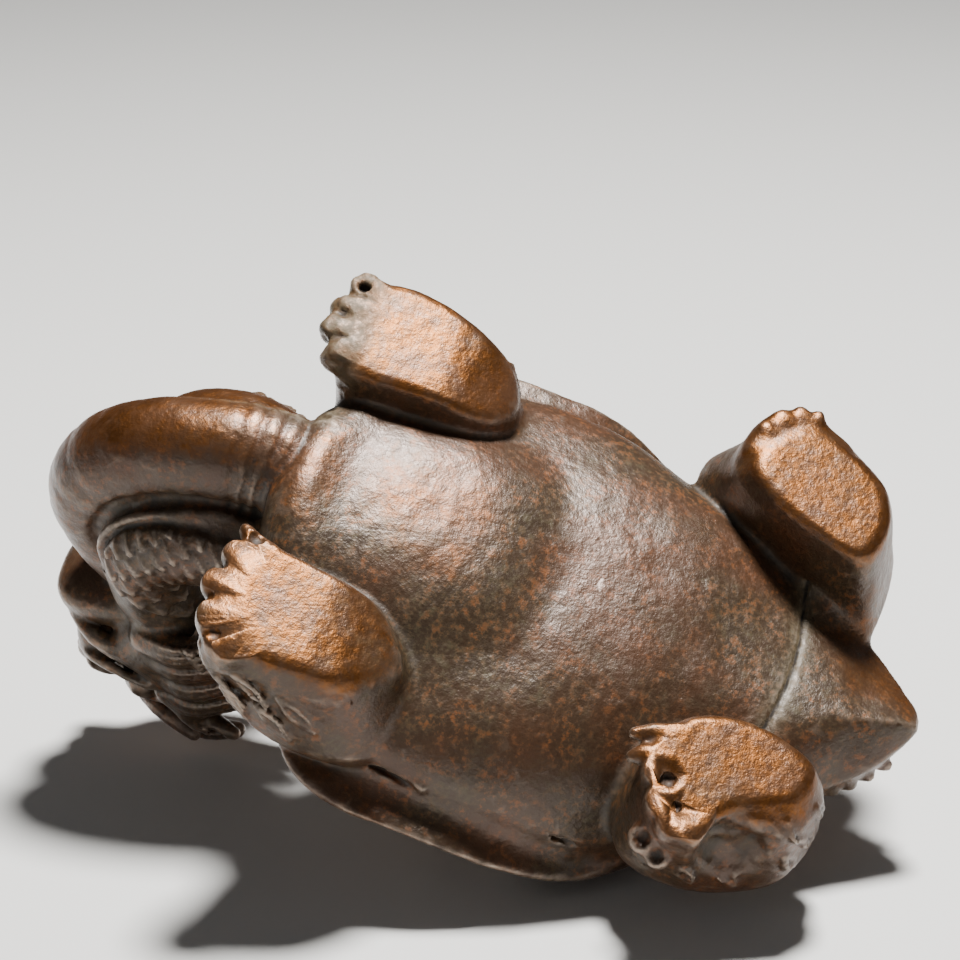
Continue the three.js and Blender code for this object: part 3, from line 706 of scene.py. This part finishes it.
SIDE_HOLLOWS = (((-27.0, 24.4, 5.2), 1.5), ((-28.3, 26.4, 5.6), 1.25), ((-22.4, -23.0, 6.8), 1.3))
HOLLOW_OPENS = np.array([-0.55, -0.3, -0.78])  # the way these hollows face


def add_leg_details(clay):
    """What single feet have: hollows in the right feet's sides, the left hind foot's bevel and a tuft."""
    for place, radius in SIDE_HOLLOWS:
        clay.add(lump(place, (radius * 1.15,) * 3), 0.8)
        clay.carve(lump(np.array(place) + HOLLOW_OPENS * radius * 1.1, (radius * 0.7,) * 3), 0.3)
    clay.carve(lump((-27.2, 34.8, 3.2), (4.0, 4.8, 5.2), 2.4), 1.2)
    bevel = [(22.6, 24.2, 2.4), (25.6, 25.2, 2.2), (27.5, 27.2, 2.2), (27.8, 30.2, 2.4), (26.6, 33.4, 2.8)]
    clay.add(stroke(bevel, even(1.8), 12), 1.0)
    side_tuft = [(-22.6, -22.4, 7.5), (-24.4, -20.6, 9.4), (-25.4, -17.6, 10.6)]
    clay.add(stroke(side_tuft, tapering(1.5, 0.9), 8), 0.6)


def add_leg(clay, leg):
    corners = np.array(leg["ankle"] + leg["hip"] + leg["toes"])
    low = (*(corners.min(axis=0) - 4), 0)
    high = (*(corners.max(axis=0) + 4), leg["top"])
    clay.add((low, high, leg_distance(leg)), 1.3)
    add_toes(clay, leg)
    for around, height in leg["flames"]:
        add_flame(clay, leg, around, height)


# Neck

THROAT = [
    (2.5, -16, 11.5),
    (4.2, -26, 8.6),
    (3.4, -36, 9.8),
    (2.4, -43.4, 14.6),
    (1.8, NECK_RADIUS - 0.4 - HALF_LENGTH, 21.5),
    (1.2, -43.4, 27),
    (0.6, -38.4, 30.5),
    (0, -32, 33),
]
NECK_MASS = [
    (0.6, -12, 18),
    (1.8, -24, 16.5),
    (1.6, -33, 17.5),
    (1.2, -38, 22),
    (0.6, -36.4, 29),
    (0, -31, 36),
    (0, -27, 42),
]
NECK_WIDE, NECK_DEEP = 9.0, 6.6
BAND_STEPS = 60
BAND_POINTS = 16


def band_line(side, lateral, dorsal, first, last):
    """A line that follows the throat band, off to one side and towards its inner curve."""
    path = smooth_path(THROAT, BAND_STEPS)
    ahead = np.gradient(path, axis=0)
    ahead /= np.linalg.norm(ahead, axis=1, keepdims=True)
    across = np.array([1.0, 0, 0]) - ahead * ahead[:, :1]
    across /= np.linalg.norm(across, axis=1, keepdims=True)
    inner = np.cross(ahead, across)
    line = path + side * lateral * across + dorsal * inner
    return line[(np.linspace(first, last, BAND_POINTS) * (BAND_STEPS - 1)).astype(int)]


def add_neck(clay):
    clay.add(stroke(NECK_MASS, even(NECK_DEEP), 16, NECK_WIDE / NECK_DEEP), 1.5)
    clay.add(lump((7, -31, 14), (7.4, 11, 7.4)), 1.5)
    clay.add(stroke(THROAT, tapering(NECK_RADIUS, 0.93 * NECK_RADIUS, 1), BAND_STEPS), 0.4)
    for side in SIDES:
        clay.carve(stroke(band_line(side, 6.1, 1.7, 0.16, 0.93), even(0.85), 30), 0.3)
        clay.add(stroke(band_line(side, 7.1, 3.0, 0.16, 0.97), even(0.55), 30), 0.8)


# Head, shaped in its own frame: x across, y back along it and z up through the crown

HEAD_TURN = np.array(Matrix.Rotation(-HEAD_PITCH, 3, "X"))


def in_head(shape):
    """A shape given in the head's frame, placed on the neck."""
    low, high, distance = shape
    corners = np.array([[(low, high)[i][0], (low, high)[j][1], (low, high)[k][2]] for i, j, k in CORNERS])
    placed = corners @ HEAD_TURN.T + HEAD_CENTRE

    def placed_distance(x, y, z):
        offset = (x - HEAD_CENTRE[0], y - HEAD_CENTRE[1], z - HEAD_CENTRE[2])
        own = [sum(HEAD_TURN[j][i] * offset[j] for j in range(3)) for i in range(3)]
        return distance(*own)

    return placed.min(axis=0), placed.max(axis=0), placed_distance


def mirrored(points, side):
    return [(side * x, y, z) for x, y, z in points]


def add_skull(clay):
    clay.add(in_head(lump((0, 3, 3.4), (8.6, 9, 7.4))), 1.2)
    clay.add(in_head(lump((0, 8.4, -1.6), (8.6, 8, 9.6))), 1.5)
    clay.add(in_head(lump((0, -4.2, 1.3), (6.9, 6.8, 5.2), 3.6)), 1.0)
    clay.add(in_head(lump((0, -9.2, 5.9), (3.4, 2.4, 2.9))), 1.0)
    clay.add(in_head(stroke([(0, -8, 7.4), (0, -3, 8.2), (0, 2, 10.2)], tapering(1.6, 1.2), 6)), 1.2)


def add_jaw(clay):
    clay.add(in_head(lump((0, -3.2, -7.4), (6.4, 8.7, 3.2), 2.8)), 0.8)
    clay.carve(in_head(lump((0, -7, -4.25), (9.5, 7, 0.5), 3)), 0.3)
    for z, reach, radius in ((-5.6, 11, 1.15), (-3, 10.6, 0.6)):
        lip = [(-8, 2, z + 3.4), (-7, -6, z + 0.6), (0, -reach, z), (7, -6, z + 0.6), (8, 2, z + 3.4)]
        clay.add(in_head(stroke(lip, even(radius), 18)), 0.35)
    for x in (-4.6, -2.4, 2.4, 4.6):
        tooth = [(x, -9.6 + 0.1 * x * x, -3.6), (x, -9.9 + 0.1 * x * x, -5)]
        clay.add(in_head(stroke(tooth, tapering(0.7, 0.3), 3)), 0.2)


def add_face(clay, side):
    brow = mirrored([(2.6, -6, 6.2), (5.4, -3.6, 8.6), (8.6, 0.6, 8.4), (10, 4.4, 9.6)], side)
    whisker = mirrored([(4.6, -10, 1.4), (7.6, -6.4, -0.2), (9, -0.5, 1.2), (9.4, 5, -0.6)], side)
    clay.add(in_head(lump((side * 2.7, -10, 4.4), (2.4, 2.3, 2.3))), 0.6)
    clay.carve(in_head(lump((side * 2.9, -12.1, 4.2), (0.8, 0.9, 0.7))), 0.3)
    clay.add(in_head(lump((side * 6.2, 1.5, -3), (3.4, 5.4, 5))), 1.0)
    clay.carve(in_head(lump((side * 8.6, -1.8, 4.2), (2.2, 3.0, 2.6))), 0.8)
    clay.add(in_head(lump((side * 7.3, -1.8, 4.2), (1.9, 2.1, 2.0))), 0.2)
    clay.add(in_head(stroke(brow, tapering(1.6, 0.9), 8)), 0.6)
    clay.add(in_head(stroke(whisker, tapering(0.9, 0.6), 8)), 0.4)
    frames = (
        [(6.5, -8.4, 0), (6.7, -4.8, 0), (6.7, -4.8, 3.4), (6.4, -8.4, 3.4), (6.5, -8.4, 0)],
        [(7.2, -3.6, 1.6), (8.2, 0.6, 1.4), (8.4, 0.6, 5.4), (7.4, -3.6, 5.6), (7.2, -3.6, 1.6)],
    )
    for corners in frames:
        clay.add(in_head(stroke(mirrored(corners, side), even(0.55), 17)), 0.3)


def add_horn_and_ear(clay, side):
    horn = mirrored([(4.2, 0.6, 8), (6.6, 1.8, 11.2), (7.6, 5, 12), (7.8, 9, 11)], side)
    ear = mirrored([(7, 3, 4.4), (9.6, 6, 6), (10.6, 10.5, 7)], side)
    clay.add(in_head(stroke(horn, tapering(2.2, 1.0), 9)), 1.6)
    clay.add(in_head(stroke(ear, tapering(2.4, 0.9), 7)), 1.4)
    hollow = mirrored([(9.2, 4.6, 5.4), (11.4, 9, 7)], side)
    clay.carve(in_head(stroke(hollow, tapering(0.9, 0.5), 4)), 0.4)


def add_mane(clay, side):
    """Locks that sweep back and down from the cheek, each with finer strands on it."""
    for lock in range(4):
        z = 3 - 3.5 * lock
        path = [(7.6, 2, z), (9.4, 7, z - 0.8), (8.2, 12, z - 1.6), (7, 16.6 - 0.8 * lock, z - 0.4)]
        path = mirrored(path, side)
        clay.add(in_head(stroke(path, tapering(2.1, 0.8), 8)), 0.9)
        for strand in np.linspace(-1.6, 1.6, 5):
            raised = [(x + side * (1.75 - 0.25 * strand**2), y, height + strand) for x, y, height in path[:3]]
            clay.add(in_head(stroke(raised, tapering(0.4, 0.3), 7)), 0.2)


def add_back_locks(clay):
    for lock in range(3):
        path = [(0, 8, 8.5 - 5 * lock), (0, 14, 7.4 - 5.4 * lock), (0, 18.4, 5 - 5.6 * lock)]
        clay.add(in_head(stroke(path, tapering(3.3, 1.0), 7)), 0.6)
        for x in (-2.2, 0, 2.2):
            strand = [(x, y + 1.2, z + 1.2) for _, y, z in path[:2]]
            strand.append((x * 0.4, path[2][1] + 0.4, path[2][2] + 0.4))
            clay.add(in_head(stroke(strand, tapering(0.8, 0.5), 6)), 0.25)


def add_head(clay):
    add_skull(clay)
    add_jaw(clay)
    add_back_locks(clay)
    for side in SIDES:
        add_mane(clay, side)
        add_face(clay, side)
        add_horn_and_ear(clay, side)


# Relief raised on the skinned mesh

SCALE_PITCH = 2.4  # from one row of scales to the next
SCALE_SPACING = 1.25 * SCALE_PITCH
SCALE_HALF_WIDTH = 0.72 * SCALE_PITCH
SCALE_HALF_LENGTH = 1.05 * SCALE_PITCH
SCALE_SLANT = math.radians(42)
SCALE_RISE = 0.95


def fish_scales(a, b):
    """Overlapping scales about 1 high in rows: a runs along a row, b towards the free edges."""
    height = np.zeros_like(a)
    row_of = np.floor(b / SCALE_PITCH)
    for ahead in (1, 0, -1):
        row = row_of + ahead
        shift = 0.5 * (row % 2)
        middle_a = (np.round(a / SCALE_SPACING - shift) + shift) * SCALE_SPACING
        da = (a - middle_a) / SCALE_HALF_WIDTH
        db = (b - (row + 0.2) * SCALE_PITCH) / SCALE_HALF_LENGTH
        covers = da**2 + db**2 < 1
        tilt = 0.25 + 0.75 * (db + 1) / 2
        ridge = 0.18 * np.exp(-((da / 0.25) ** 2))
        height = np.where(covers, tilt + ridge, height)
    return height


FOLD_STEPS = 300
TIGHT_FOLD, TIGHT_RISE = 0.026, 0.34  # share of the band's length that one fold takes, and its height
BROAD_FOLD, BROAD_RISE = 0.06, 0.1


def along_band(points):
    """How far along the throat band each point lies, 0 to 1, and its distance from the band's middle line."""
    gap = np.full(len(points), 1e9)
    share = np.zeros(len(points))
    near = np.nonzero((np.abs(points[:, 0]) < 14) & (points[:, 1] < -19))[0]
    for at, place in zip(np.linspace(0, 1, FOLD_STEPS), smooth_path(THROAT, FOLD_STEPS)):
        here = np.linalg.norm(points[near] - place, axis=1)
        closer = near[here < gap[near]]
        gap[closer] = here[here < gap[near]]
        share[closer] = at
    return share, gap


def pinched(phase):
    """Rounded folds with narrow creases between them."""
    return np.sqrt(np.abs(np.sin(np.pi * phase))) - 0.75


def band_folds(points):
    """Tight folds next to the collar and broad soft ones round the bend."""
    share, gap = along_band(points)
    on_band = step(gap, 7.4, 6.7) * step(gap, 4.6, 5.6)
    tight = step(share, 0.12, 0.14) * step(share, 0.24, 0.18)
    broad = step(share, 0.24, 0.32) * step(share, 0.9, 0.6)
    small = TIGHT_RISE * tight * pinched(share / TIGHT_FOLD)
    large = BROAD_RISE * broad * pinched(share / BROAD_FOLD)
    return on_band * (small + large)


def beside_band(points):
    """0 on the throat band and 1 clear of it."""
    gap = np.full(len(points), 1e9)
    for place in smooth_path(THROAT, 40):
        gap = np.minimum(gap, np.hypot(points[:, 1] - place[1], points[:, 2] - place[2]))
    return step(gap, 3.6, 4.4)


def near_seam(points, normals, width):
    """1 along the crack across the underside between the belly plate and the tail, fading over a width."""
    x, y, _ = points.T
    off = y - (SEAM_Y - 0.012 * (x - 3) ** 2)
    below = step(-normals[:, 2], 0.15, 0.45) * step(np.abs(x), 13, 11.5)
    return below * np.exp(-((off / width) ** 2))


def neck_scales(points, normals):
    """Long scales on the neck's flanks, pointing back and up inside the curl of the band."""
    x, y, z = points.T
    along = y * math.cos(SCALE_SLANT) + z * math.sin(SCALE_SLANT)
    across = -y * math.sin(SCALE_SLANT) + z * math.cos(SCALE_SLANT)
    near = step(np.hypot(y + 33, (z - 21) * 0.9), 14.5, 13.5)
    flank = step(np.abs(normals[:, 0]), 0.25, 0.55) * near * step(z, 9, 11) * step(z, 34, 31)
    return SCALE_RISE * flank * beside_band(points) * fish_scales(1.6 * across, along)


def left_flank(points):
    """1 on the rough swollen flank on the left of the neck."""
    x, y, z = points.T
    return step(x, 6.5, 8.5) * step(y, -20, -23) * step(y, -45, -40) * step(z, 24, 19) * beside_band(points)


def hand_made(points, normals):
    """Uneven surface of a worn casting: slow swells, small dents and fine grain."""
    swell = 0.2 * lattice_noise(points, 9, SEED) + 0.12 * lattice_noise(points, 4.2, SEED + 1)
    fine = 0.05 * lattice_noise(points, 1.7, SEED + 2) + 0.03 * lattice_noise(points, 0.8, SEED + 3)
    rough = 0.4 * lattice_noise(points, 2.2, SEED + 4) + 0.25 * lattice_noise(points, 1.1, SEED + 5)
    in_hollow = step(np.linalg.norm((points - (-24.6, 34.8, 4.5)) / (3.6, 4.4, 4.6), axis=1), 1.15, 0.9)
    on_sole = step(-normals[:, 2], 0.7, 0.95) * step(points[:, 2], 0.8, 0.2)
    uneven = swell + fine + rough * np.maximum(left_flank(points), 0.8 * in_hollow)
    return uneven * (1 - on_sole) + 0.3 * fine * on_sole


def relieved(points, quads):
    normals = normals_of(points, quads)
    lift = neck_scales(points, normals) + band_folds(points)
    lift -= SEAM_DEPTH * near_seam(points, normals, SEAM_WIDTH)
    lift += hand_made(points, normals)
    moved = points + normals * lift[:, None]
    moved[:, 2] = np.maximum(moved[:, 2], 0)
    return moved


# Making the piece

BLOCK_LOW, BLOCK_HIGH = (-34, -55, -2.5), (34, 55, HEIGHT + 4)
SETTLING_ROUNDS = 2


def model():
    """Builds the clay, skins it and settles the skin onto the clay's surface."""
    clay = Clay(BLOCK_LOW, BLOCK_HIGH)
    add_trunk(clay)
    add_neck(clay)
    for leg in LEGS:
        add_leg(clay, leg)
    add_leg_details(clay)
    add_tail(clay)
    add_head(clay)
    points, quads = skin_of(clay)
    for _ in range(SETTLING_ROUNDS):
        points = points - clay.slope(points) * np.clip(clay.sample(points), -0.3, 0.3)[:, None]
    return points, quads


def largest_piece(points, quads):
    """Drops specks and shut-in pockets, and keeps the one outer skin."""
    label = np.arange(len(points))
    while True:
        lowest = label[quads].min(axis=1)
        new = label.copy()
        for corner in range(4):
            np.minimum.at(new, quads[:, corner], lowest)
        new = new[new]
        if (new == label).all():
            break
        label = new
    names, counts = np.unique(label[quads[:, 0]], return_counts=True)
    kept = label == names[counts.argmax()]
    renumber = np.cumsum(kept) - 1
    return points[kept], renumber[quads[kept[quads[:, 0]]]]


def hollow_at(points, faces, normals, rounds):
    """How far each point lies in a hollow (above 0) or stands proud (below 0)."""
    return ((smooth_over(points, faces, rounds) - points) * normals).sum(axis=1)


def handled_and_lit_at(points, normals):
    """Where hands and the table have worn the patina: the soles, the bend of the neck and the tail.
    On the neck and tail it lies only on the side facing the key light, so it is partly painted light there.
    """
    x, y, z = points.T
    facing_down = step(-normals[:, 2], 0.1, 0.75)
    soles = step(z, 3.6, 0.6) * facing_down
    from_bend = np.minimum(np.hypot(y + 40.5, (z - 10.5) * 1.3), np.hypot(y + 33, (z - 8.5) * 1.3))
    lit_side = step(0.5 * normals[:, 0] - normals[:, 2], 0.1, 0.6) * step(x, -3, 1)
    neck = step(from_bend, 11, 5) * lit_side * step(y, -24, -27)
    # the tail's copper only on its facet facing the key light: painted light
    tail = step(y, 37, 43) * step(x, -1, 3) * facing_down
    return np.maximum(np.maximum(soles, neck), 0.7 * tail)


def linked(name, data):
    """A new object with this data, in the scene."""
    made = bpy.data.objects.new(name, data)
    bpy.context.collection.objects.link(made)
    return made


def make_mesh(points, quads):
    mesh = bpy.data.meshes.new(NODE + "_skin")
    mesh.vertices.add(len(points))
    mesh.vertices.foreach_set("co", (points * MM).astype(np.float32).ravel())
    mesh.loops.add(quads.size)
    mesh.loops.foreach_set("vertex_index", quads.astype(np.int32).ravel())
    mesh.polygons.add(len(quads))
    mesh.polygons.foreach_set("loop_start", np.arange(0, quads.size, 4, dtype=np.int32))
    mesh.update(calc_edges=True)
    mesh.validate()
    return mesh


def thinned(mesh):
    """The same skin with fewer triangles, which stay close together where it bends."""
    holder = linked("fine_skin", mesh)
    thin = holder.modifiers.new("thin", "DECIMATE")
    thin.ratio = min(1.0, MOST_TRIANGLES / (2 * len(mesh.polygons)))
    shaped = holder.evaluated_get(bpy.context.evaluated_depsgraph_get())
    made = bpy.data.meshes.new_from_object(shaped)
    bpy.data.objects.remove(holder)
    bpy.data.meshes.remove(mesh)
    return made


def triangles_of(mesh):
    """A mesh's vertices in millimetres and its faces as triangles."""
    points = np.empty(len(mesh.vertices) * 3, np.float32)
    mesh.vertices.foreach_get("co", points)
    mesh.calc_loop_triangles()
    faces = np.empty(len(mesh.loop_triangles) * 3, np.int32)
    mesh.loop_triangles.foreach_get("vertices", faces)
    return points.reshape(-1, 3).astype(float) / MM, faces.reshape(-1, 3)


def make_turtle(material):
    points, quads = largest_piece(*model())
    mesh = thinned(make_mesh(relieved(points, quads), quads))
    points, faces = triangles_of(mesh)
    normals = normals_of(points, faces)
    # masks for wear and dirt, and for the painted crevice shade, painted edge sheen and copper painted on the
    # key-lit side
    wear_and_shade_masks = {
        "fine_hollow": hollow_at(points, faces, normals, FINE_ROUNDS),
        "broad_hollow": hollow_at(points, faces, normals, BROAD_ROUNDS),
        "handled_and_lit": handled_and_lit_at(points, normals),
        "dusty": np.maximum(left_flank(points), near_seam(points, normals, SEAM_DUST_WIDTH)),
    }
    for name, values in wear_and_shade_masks.items():
        mesh.attributes.new(name, "FLOAT", "POINT").data.foreach_set("value", values.astype(np.float32))
    mesh.polygons.foreach_set("use_smooth", np.ones(len(mesh.polygons), bool))
    mesh.materials.append(material)
    return linked(NODE + "_bronze", mesh)


# Bronze

class Nodes:
    """A short way to write a material's node tree."""

    def __init__(self, name):
        self.material = bpy.data.materials.new(name)
        self.material.use_nodes = True
        self.tree = self.material.node_tree
        self.shader = self.tree.nodes["Principled BSDF"]

    def add(self, kind, inputs=None, **settings):
        node = self.tree.nodes.new(kind)
        for key, value in settings.items():
            setattr(node, key, value)
        for key, value in (inputs or {}).items():
            self.feed(node.inputs[key], value)
        return node

    def feed(self, socket, value):
        if isinstance(value, bpy.types.NodeSocket):
            self.tree.links.new(value, socket)
        else:
            socket.default_value = value

    def shade(self, name, value):
        self.feed(self.shader.inputs[name], value)

    def noise(self, place, scale, detail, roughness):
        inputs = {"Vector": place, "Scale": scale, "Detail": detail, "Roughness": roughness}
        return self.add("ShaderNodeTexNoise", inputs).outputs["Fac"]

    def plus(self, a, b):
        return self.add("ShaderNodeMath", {0: a, 1: b}, operation="ADD").outputs[0]

    def times(self, a, b):
        return self.add("ShaderNodeMath", {0: a, 1: b}, operation="MULTIPLY").outputs[0]

    def between(self, value, low, high, to_low=0.0, to_high=1.0):
        limits = {"Value": value, "From Min": low, "From Max": high, "To Min": to_low, "To Max": to_high}
        return self.add("ShaderNodeMapRange", limits, clamp=True).outputs["Result"]

    def mix(self, share, a, b):
        node = self.add("ShaderNodeMix", data_type="RGBA")
        self.feed(node.inputs[0], share)
        self.feed(node.inputs[6], a)
        self.feed(node.inputs[7], b)
        return node.outputs[2]


def rgba(red, green, blue):
    return (red, green, blue, 1.0)


DARK_PATINA = rgba(0.020, 0.012, 0.009)
BROWN_PATINA = rgba(0.062, 0.028, 0.013)
RED_PATINA = rgba(0.145, 0.050, 0.015)
# copper of worn high points and flecks, also painted on the key-lit side of the neck and tail as painted
# light
LIT_AND_WORN_COPPER = rgba(0.155, 0.056, 0.013)
OLIVE_DIRT = rgba(0.070, 0.054, 0.027)
# near black painted into fine creases, pits and grooves as their shade
CREVICE_SHADE = rgba(0.012, 0.009, 0.007)
# pale lines on crisp raised edges: painted sheen on the edges, partly worn metal
EDGE_SHEEN_AND_WEAR = rgba(0.40, 0.34, 0.28)


def bronze():
    n = Nodes("bronze")
    place = n.add("ShaderNodeTexCoord").outputs["Object"]
    fine, broad, handled_and_lit, dusty = (
        n.add("ShaderNodeAttribute", attribute_name=name).outputs["Fac"]
        for name in ("fine_hollow", "broad_hollow", "handled_and_lit", "dusty")
    )

    clouds = n.noise(place, 75, 5, 0.55)
    patches = n.noise(place, 260, 6, 0.66)
    specks = n.noise(place, 1150, 5, 0.68)

    colour = n.mix(n.between(clouds, 0.38, 0.62, 0.25, 1), DARK_PATINA, BROWN_PATINA)
    film = n.times(n.between(clouds, 0.6, 0.42), n.between(specks, 0.45, 0.6, 0.2, 0.7))
    colour = n.mix(film, colour, OLIVE_DIRT)
    flecks = n.times(n.between(specks, 0.5, 0.61), n.between(patches, 0.4, 0.6))
    colour = n.mix(n.times(flecks, 0.85), colour, RED_PATINA)
    bright = n.times(n.between(specks, 0.58, 0.68), n.between(patches, 0.47, 0.62))
    colour = n.mix(n.times(bright, 0.5), colour, LIT_AND_WORN_COPPER)

    proud = n.plus(n.between(broad, -0.35, -1.3, 0, 0.6), n.between(fine, -0.03, -0.14, 0, 0.5))
    # copper rubbed through on the soles is wear; on the neck and tail it is kept to the side facing the key
    # light, which is painted light
    rubbed_and_lit = n.times(handled_and_lit, n.between(patches, 0.34, 0.66, 0.4, 1))
    worn = n.plus(n.times(proud, n.between(patches, 0.36, 0.6)), rubbed_and_lit)
    worn = n.times(n.between(worn, 0.12, 0.9), n.between(specks, 0.34, 0.56, 0.45, 1))
    colour = n.mix(n.times(worn, 0.92), colour, LIT_AND_WORN_COPPER)

    sunk = n.plus(n.between(broad, 0.25, 1.1, 0, 0.8), n.times(dusty, 0.8))
    dirt = n.times(sunk, n.between(specks, 0.36, 0.56, 0.35, 1))
    colour = n.mix(dirt, colour, OLIVE_DIRT)
    # painted shade: the finest creases, pits and grooves are darkened nearly to black, where shade falls in
    # them
    deep = n.between(fine, 0.03, 0.16)
    colour = n.mix(n.times(deep, 0.9), colour, CREVICE_SHADE)

    # painted highlight: crisp raised edges are lightened as if catching the light, mixed with worn metal;
    # less of it on the handled places
    edge = n.times(n.between(fine, -0.05, -0.15), n.between(patches, 0.36, 0.55))
    edge = n.times(edge, n.between(handled_and_lit, 0, 1, 0.5, 0.12))
    colour = n.mix(edge, colour, EDGE_SHEEN_AND_WEAR)

    n.shade("Base Color", colour)
    # olive dirt plus the painted crevice shade, both of which also make the surface rougher and less metallic
    dirt_and_crevice_shade = n.plus(dirt, deep)
    metal = n.times(n.between(worn, 0, 0.8, 0.3, 0.9), n.between(dirt_and_crevice_shade, 0, 1, 1, 0.2))
    n.shade("Metallic", metal)
    rough = n.plus(n.between(specks, 0.3, 0.7, 0.3, 0.46), n.times(dirt_and_crevice_shade, 0.35))
    n.shade("Roughness", rough)
    n.shade("Coat Weight", 0.04)
    n.shade("Coat Roughness", 0.3)

    grain = n.noise(place, 2600, 3, 0.6)
    hammered = n.noise(place, 620, 5, 0.6)
    scratches = n.add("ShaderNodeTexVoronoi", {"Vector": place, "Scale": 480.0}).outputs["Distance"]
    height = n.plus(n.times(grain, 0.4), n.times(hammered, 1.2))
    height = n.plus(height, n.times(n.between(scratches, 0, 0.35), 0.25))
    bump = n.add("ShaderNodeBump", {"Height": height, "Strength": 0.55, "Distance": 0.00022})
    n.shade("Normal", bump.outputs["Normal"])
    return n.material


# Camera, floor and light

PHOTO_SIZE = 960
MM_PER_PIXEL = 0.11
CAMERA_DISTANCE = 330.0
PHOTO_RIGHT = Vector((0.273, 0.9455, -0.1775)).normalized()
PHOTO_BACK = Vector((-0.545, 0.0, -0.839)).normalized()
BELLY_POINT = Vector((-1.8, 7.92, 4.5))  # the place on the belly that the photograph shows at BELLY_PIXEL
BELLY_PIXEL = (560, 590)
TABLE_TILT = math.radians(20)  # the photograph looks down on its table by this much
FLOOR_HALF = 1.6  # metres, like the lamps' distances and sizes
FLOOR_COLOUR = rgba(0.62, 0.62, 0.61)
STUDIO_COLOUR = rgba(0.55, 0.56, 0.57)
STUDIO_STRENGTH = 0.14


def photo_axes():
    back = PHOTO_BACK
    right = (PHOTO_RIGHT - back * PHOTO_RIGHT.dot(back)).normalized()
    return right, back.cross(right), back


def make_camera():
    right, up, back = photo_axes()
    across = (BELLY_PIXEL[0] - PHOTO_SIZE / 2) * MM_PER_PIXEL
    below = (BELLY_PIXEL[1] - PHOTO_SIZE / 2) * MM_PER_PIXEL
    place = BELLY_POINT - right * across + up * below + back * CAMERA_DISTANCE
    data = bpy.data.cameras.new("photo_camera")
    data.sensor_width = 36
    data.lens = data.sensor_width * CAMERA_DISTANCE / (PHOTO_SIZE * MM_PER_PIXEL)
    data.clip_start, data.clip_end = 0.01, 10
    camera = linked("photo_camera", data)
    turn = Matrix((right, up, back)).transposed().to_4x4()
    camera.matrix_world = Matrix.Translation(place * MM) @ turn
    bpy.context.scene.camera = camera


def table_axes():
    """Right, up and towards the camera, as the photograph's table lies."""
    right, up, back = photo_axes()
    table_up = up * math.cos(TABLE_TILT) + back * math.sin(TABLE_TILT)
    return right, table_up, right.cross(table_up)


def one_sided(name, colour):
    """A plain pale floor that is clear when seen from below."""
    n = Nodes(name)
    n.shade("Base Color", colour)
    n.shade("Roughness", 0.6)
    clear = n.add("ShaderNodeBsdfTransparent").outputs[0]
    behind = n.add("ShaderNodeNewGeometry").outputs["Backfacing"]
    mixed = n.add("ShaderNodeMixShader", {0: behind, 1: n.shader.outputs[0], 2: clear})
    n.feed(n.tree.nodes["Material Output"].inputs["Surface"], mixed.outputs[0])
    return n.material


def make_floor(turtle):
    """The floor lies where the photograph's table does, just touching the turtle."""
    right, table_up, towards = table_axes()
    touching = min(v.co @ table_up for v in turtle.data.vertices)
    mesh = bpy.data.meshes.new("floor")
    corners = [(x * FLOOR_HALF, y * FLOOR_HALF, 0) for x, y in ((-1, -1), (1, -1), (1, 1), (-1, 1))]
    mesh.from_pydata(corners, [], [(0, 1, 2, 3)])
    mesh.materials.append(one_sided("floor", FLOOR_COLOUR))
    floor = linked("floor", mesh)
    turn = Matrix((right, -towards, table_up)).transposed().to_4x4()
    floor.matrix_world = Matrix.Translation(table_up * touching) @ turn
    floor.visible_shadow = False


def area_light(name, direction, distance, size, watts, colour=(1, 1, 1)):
    data = bpy.data.lights.new(name, "AREA")
    data.shape = "DISK"
    data.size = size
    data.energy = watts
    data.color = colour
    lamp = linked(name, data)
    direction = direction.normalized()
    lamp.location = direction * distance + Vector((0, 0, 0.02))
    lamp.rotation_mode = "QUATERNION"
    lamp.rotation_quaternion = direction.to_track_quat("Z", "Y")


def make_lights():
    right, table_up, towards = table_axes()
    overhead = table_up + right * 0.12 - towards * 0.12
    in_front = towards + table_up * 0.6 - right * 0.5
    over_shell = Vector((0.35, -0.5, 0.9))
    area_light("key", overhead, distance=0.55, size=0.12, watts=12.0, colour=(1, 0.98, 0.95))
    area_light("fill", in_front, distance=0.7, size=0.5, watts=0.3, colour=(0.92, 0.96, 1))
    area_light("top", over_shell, distance=0.6, size=0.35, watts=5.0)
    world = bpy.data.worlds.new("studio")
    world.use_nodes = True
    background = world.node_tree.nodes["Background"].inputs
    background["Color"].default_value = STUDIO_COLOUR
    background["Strength"].default_value = STUDIO_STRENGTH
    bpy.context.scene.world = world


make_camera()
turtle = make_turtle(bronze())
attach(turtle, "root")
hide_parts(NODE)
make_floor(turtle)
make_lights()
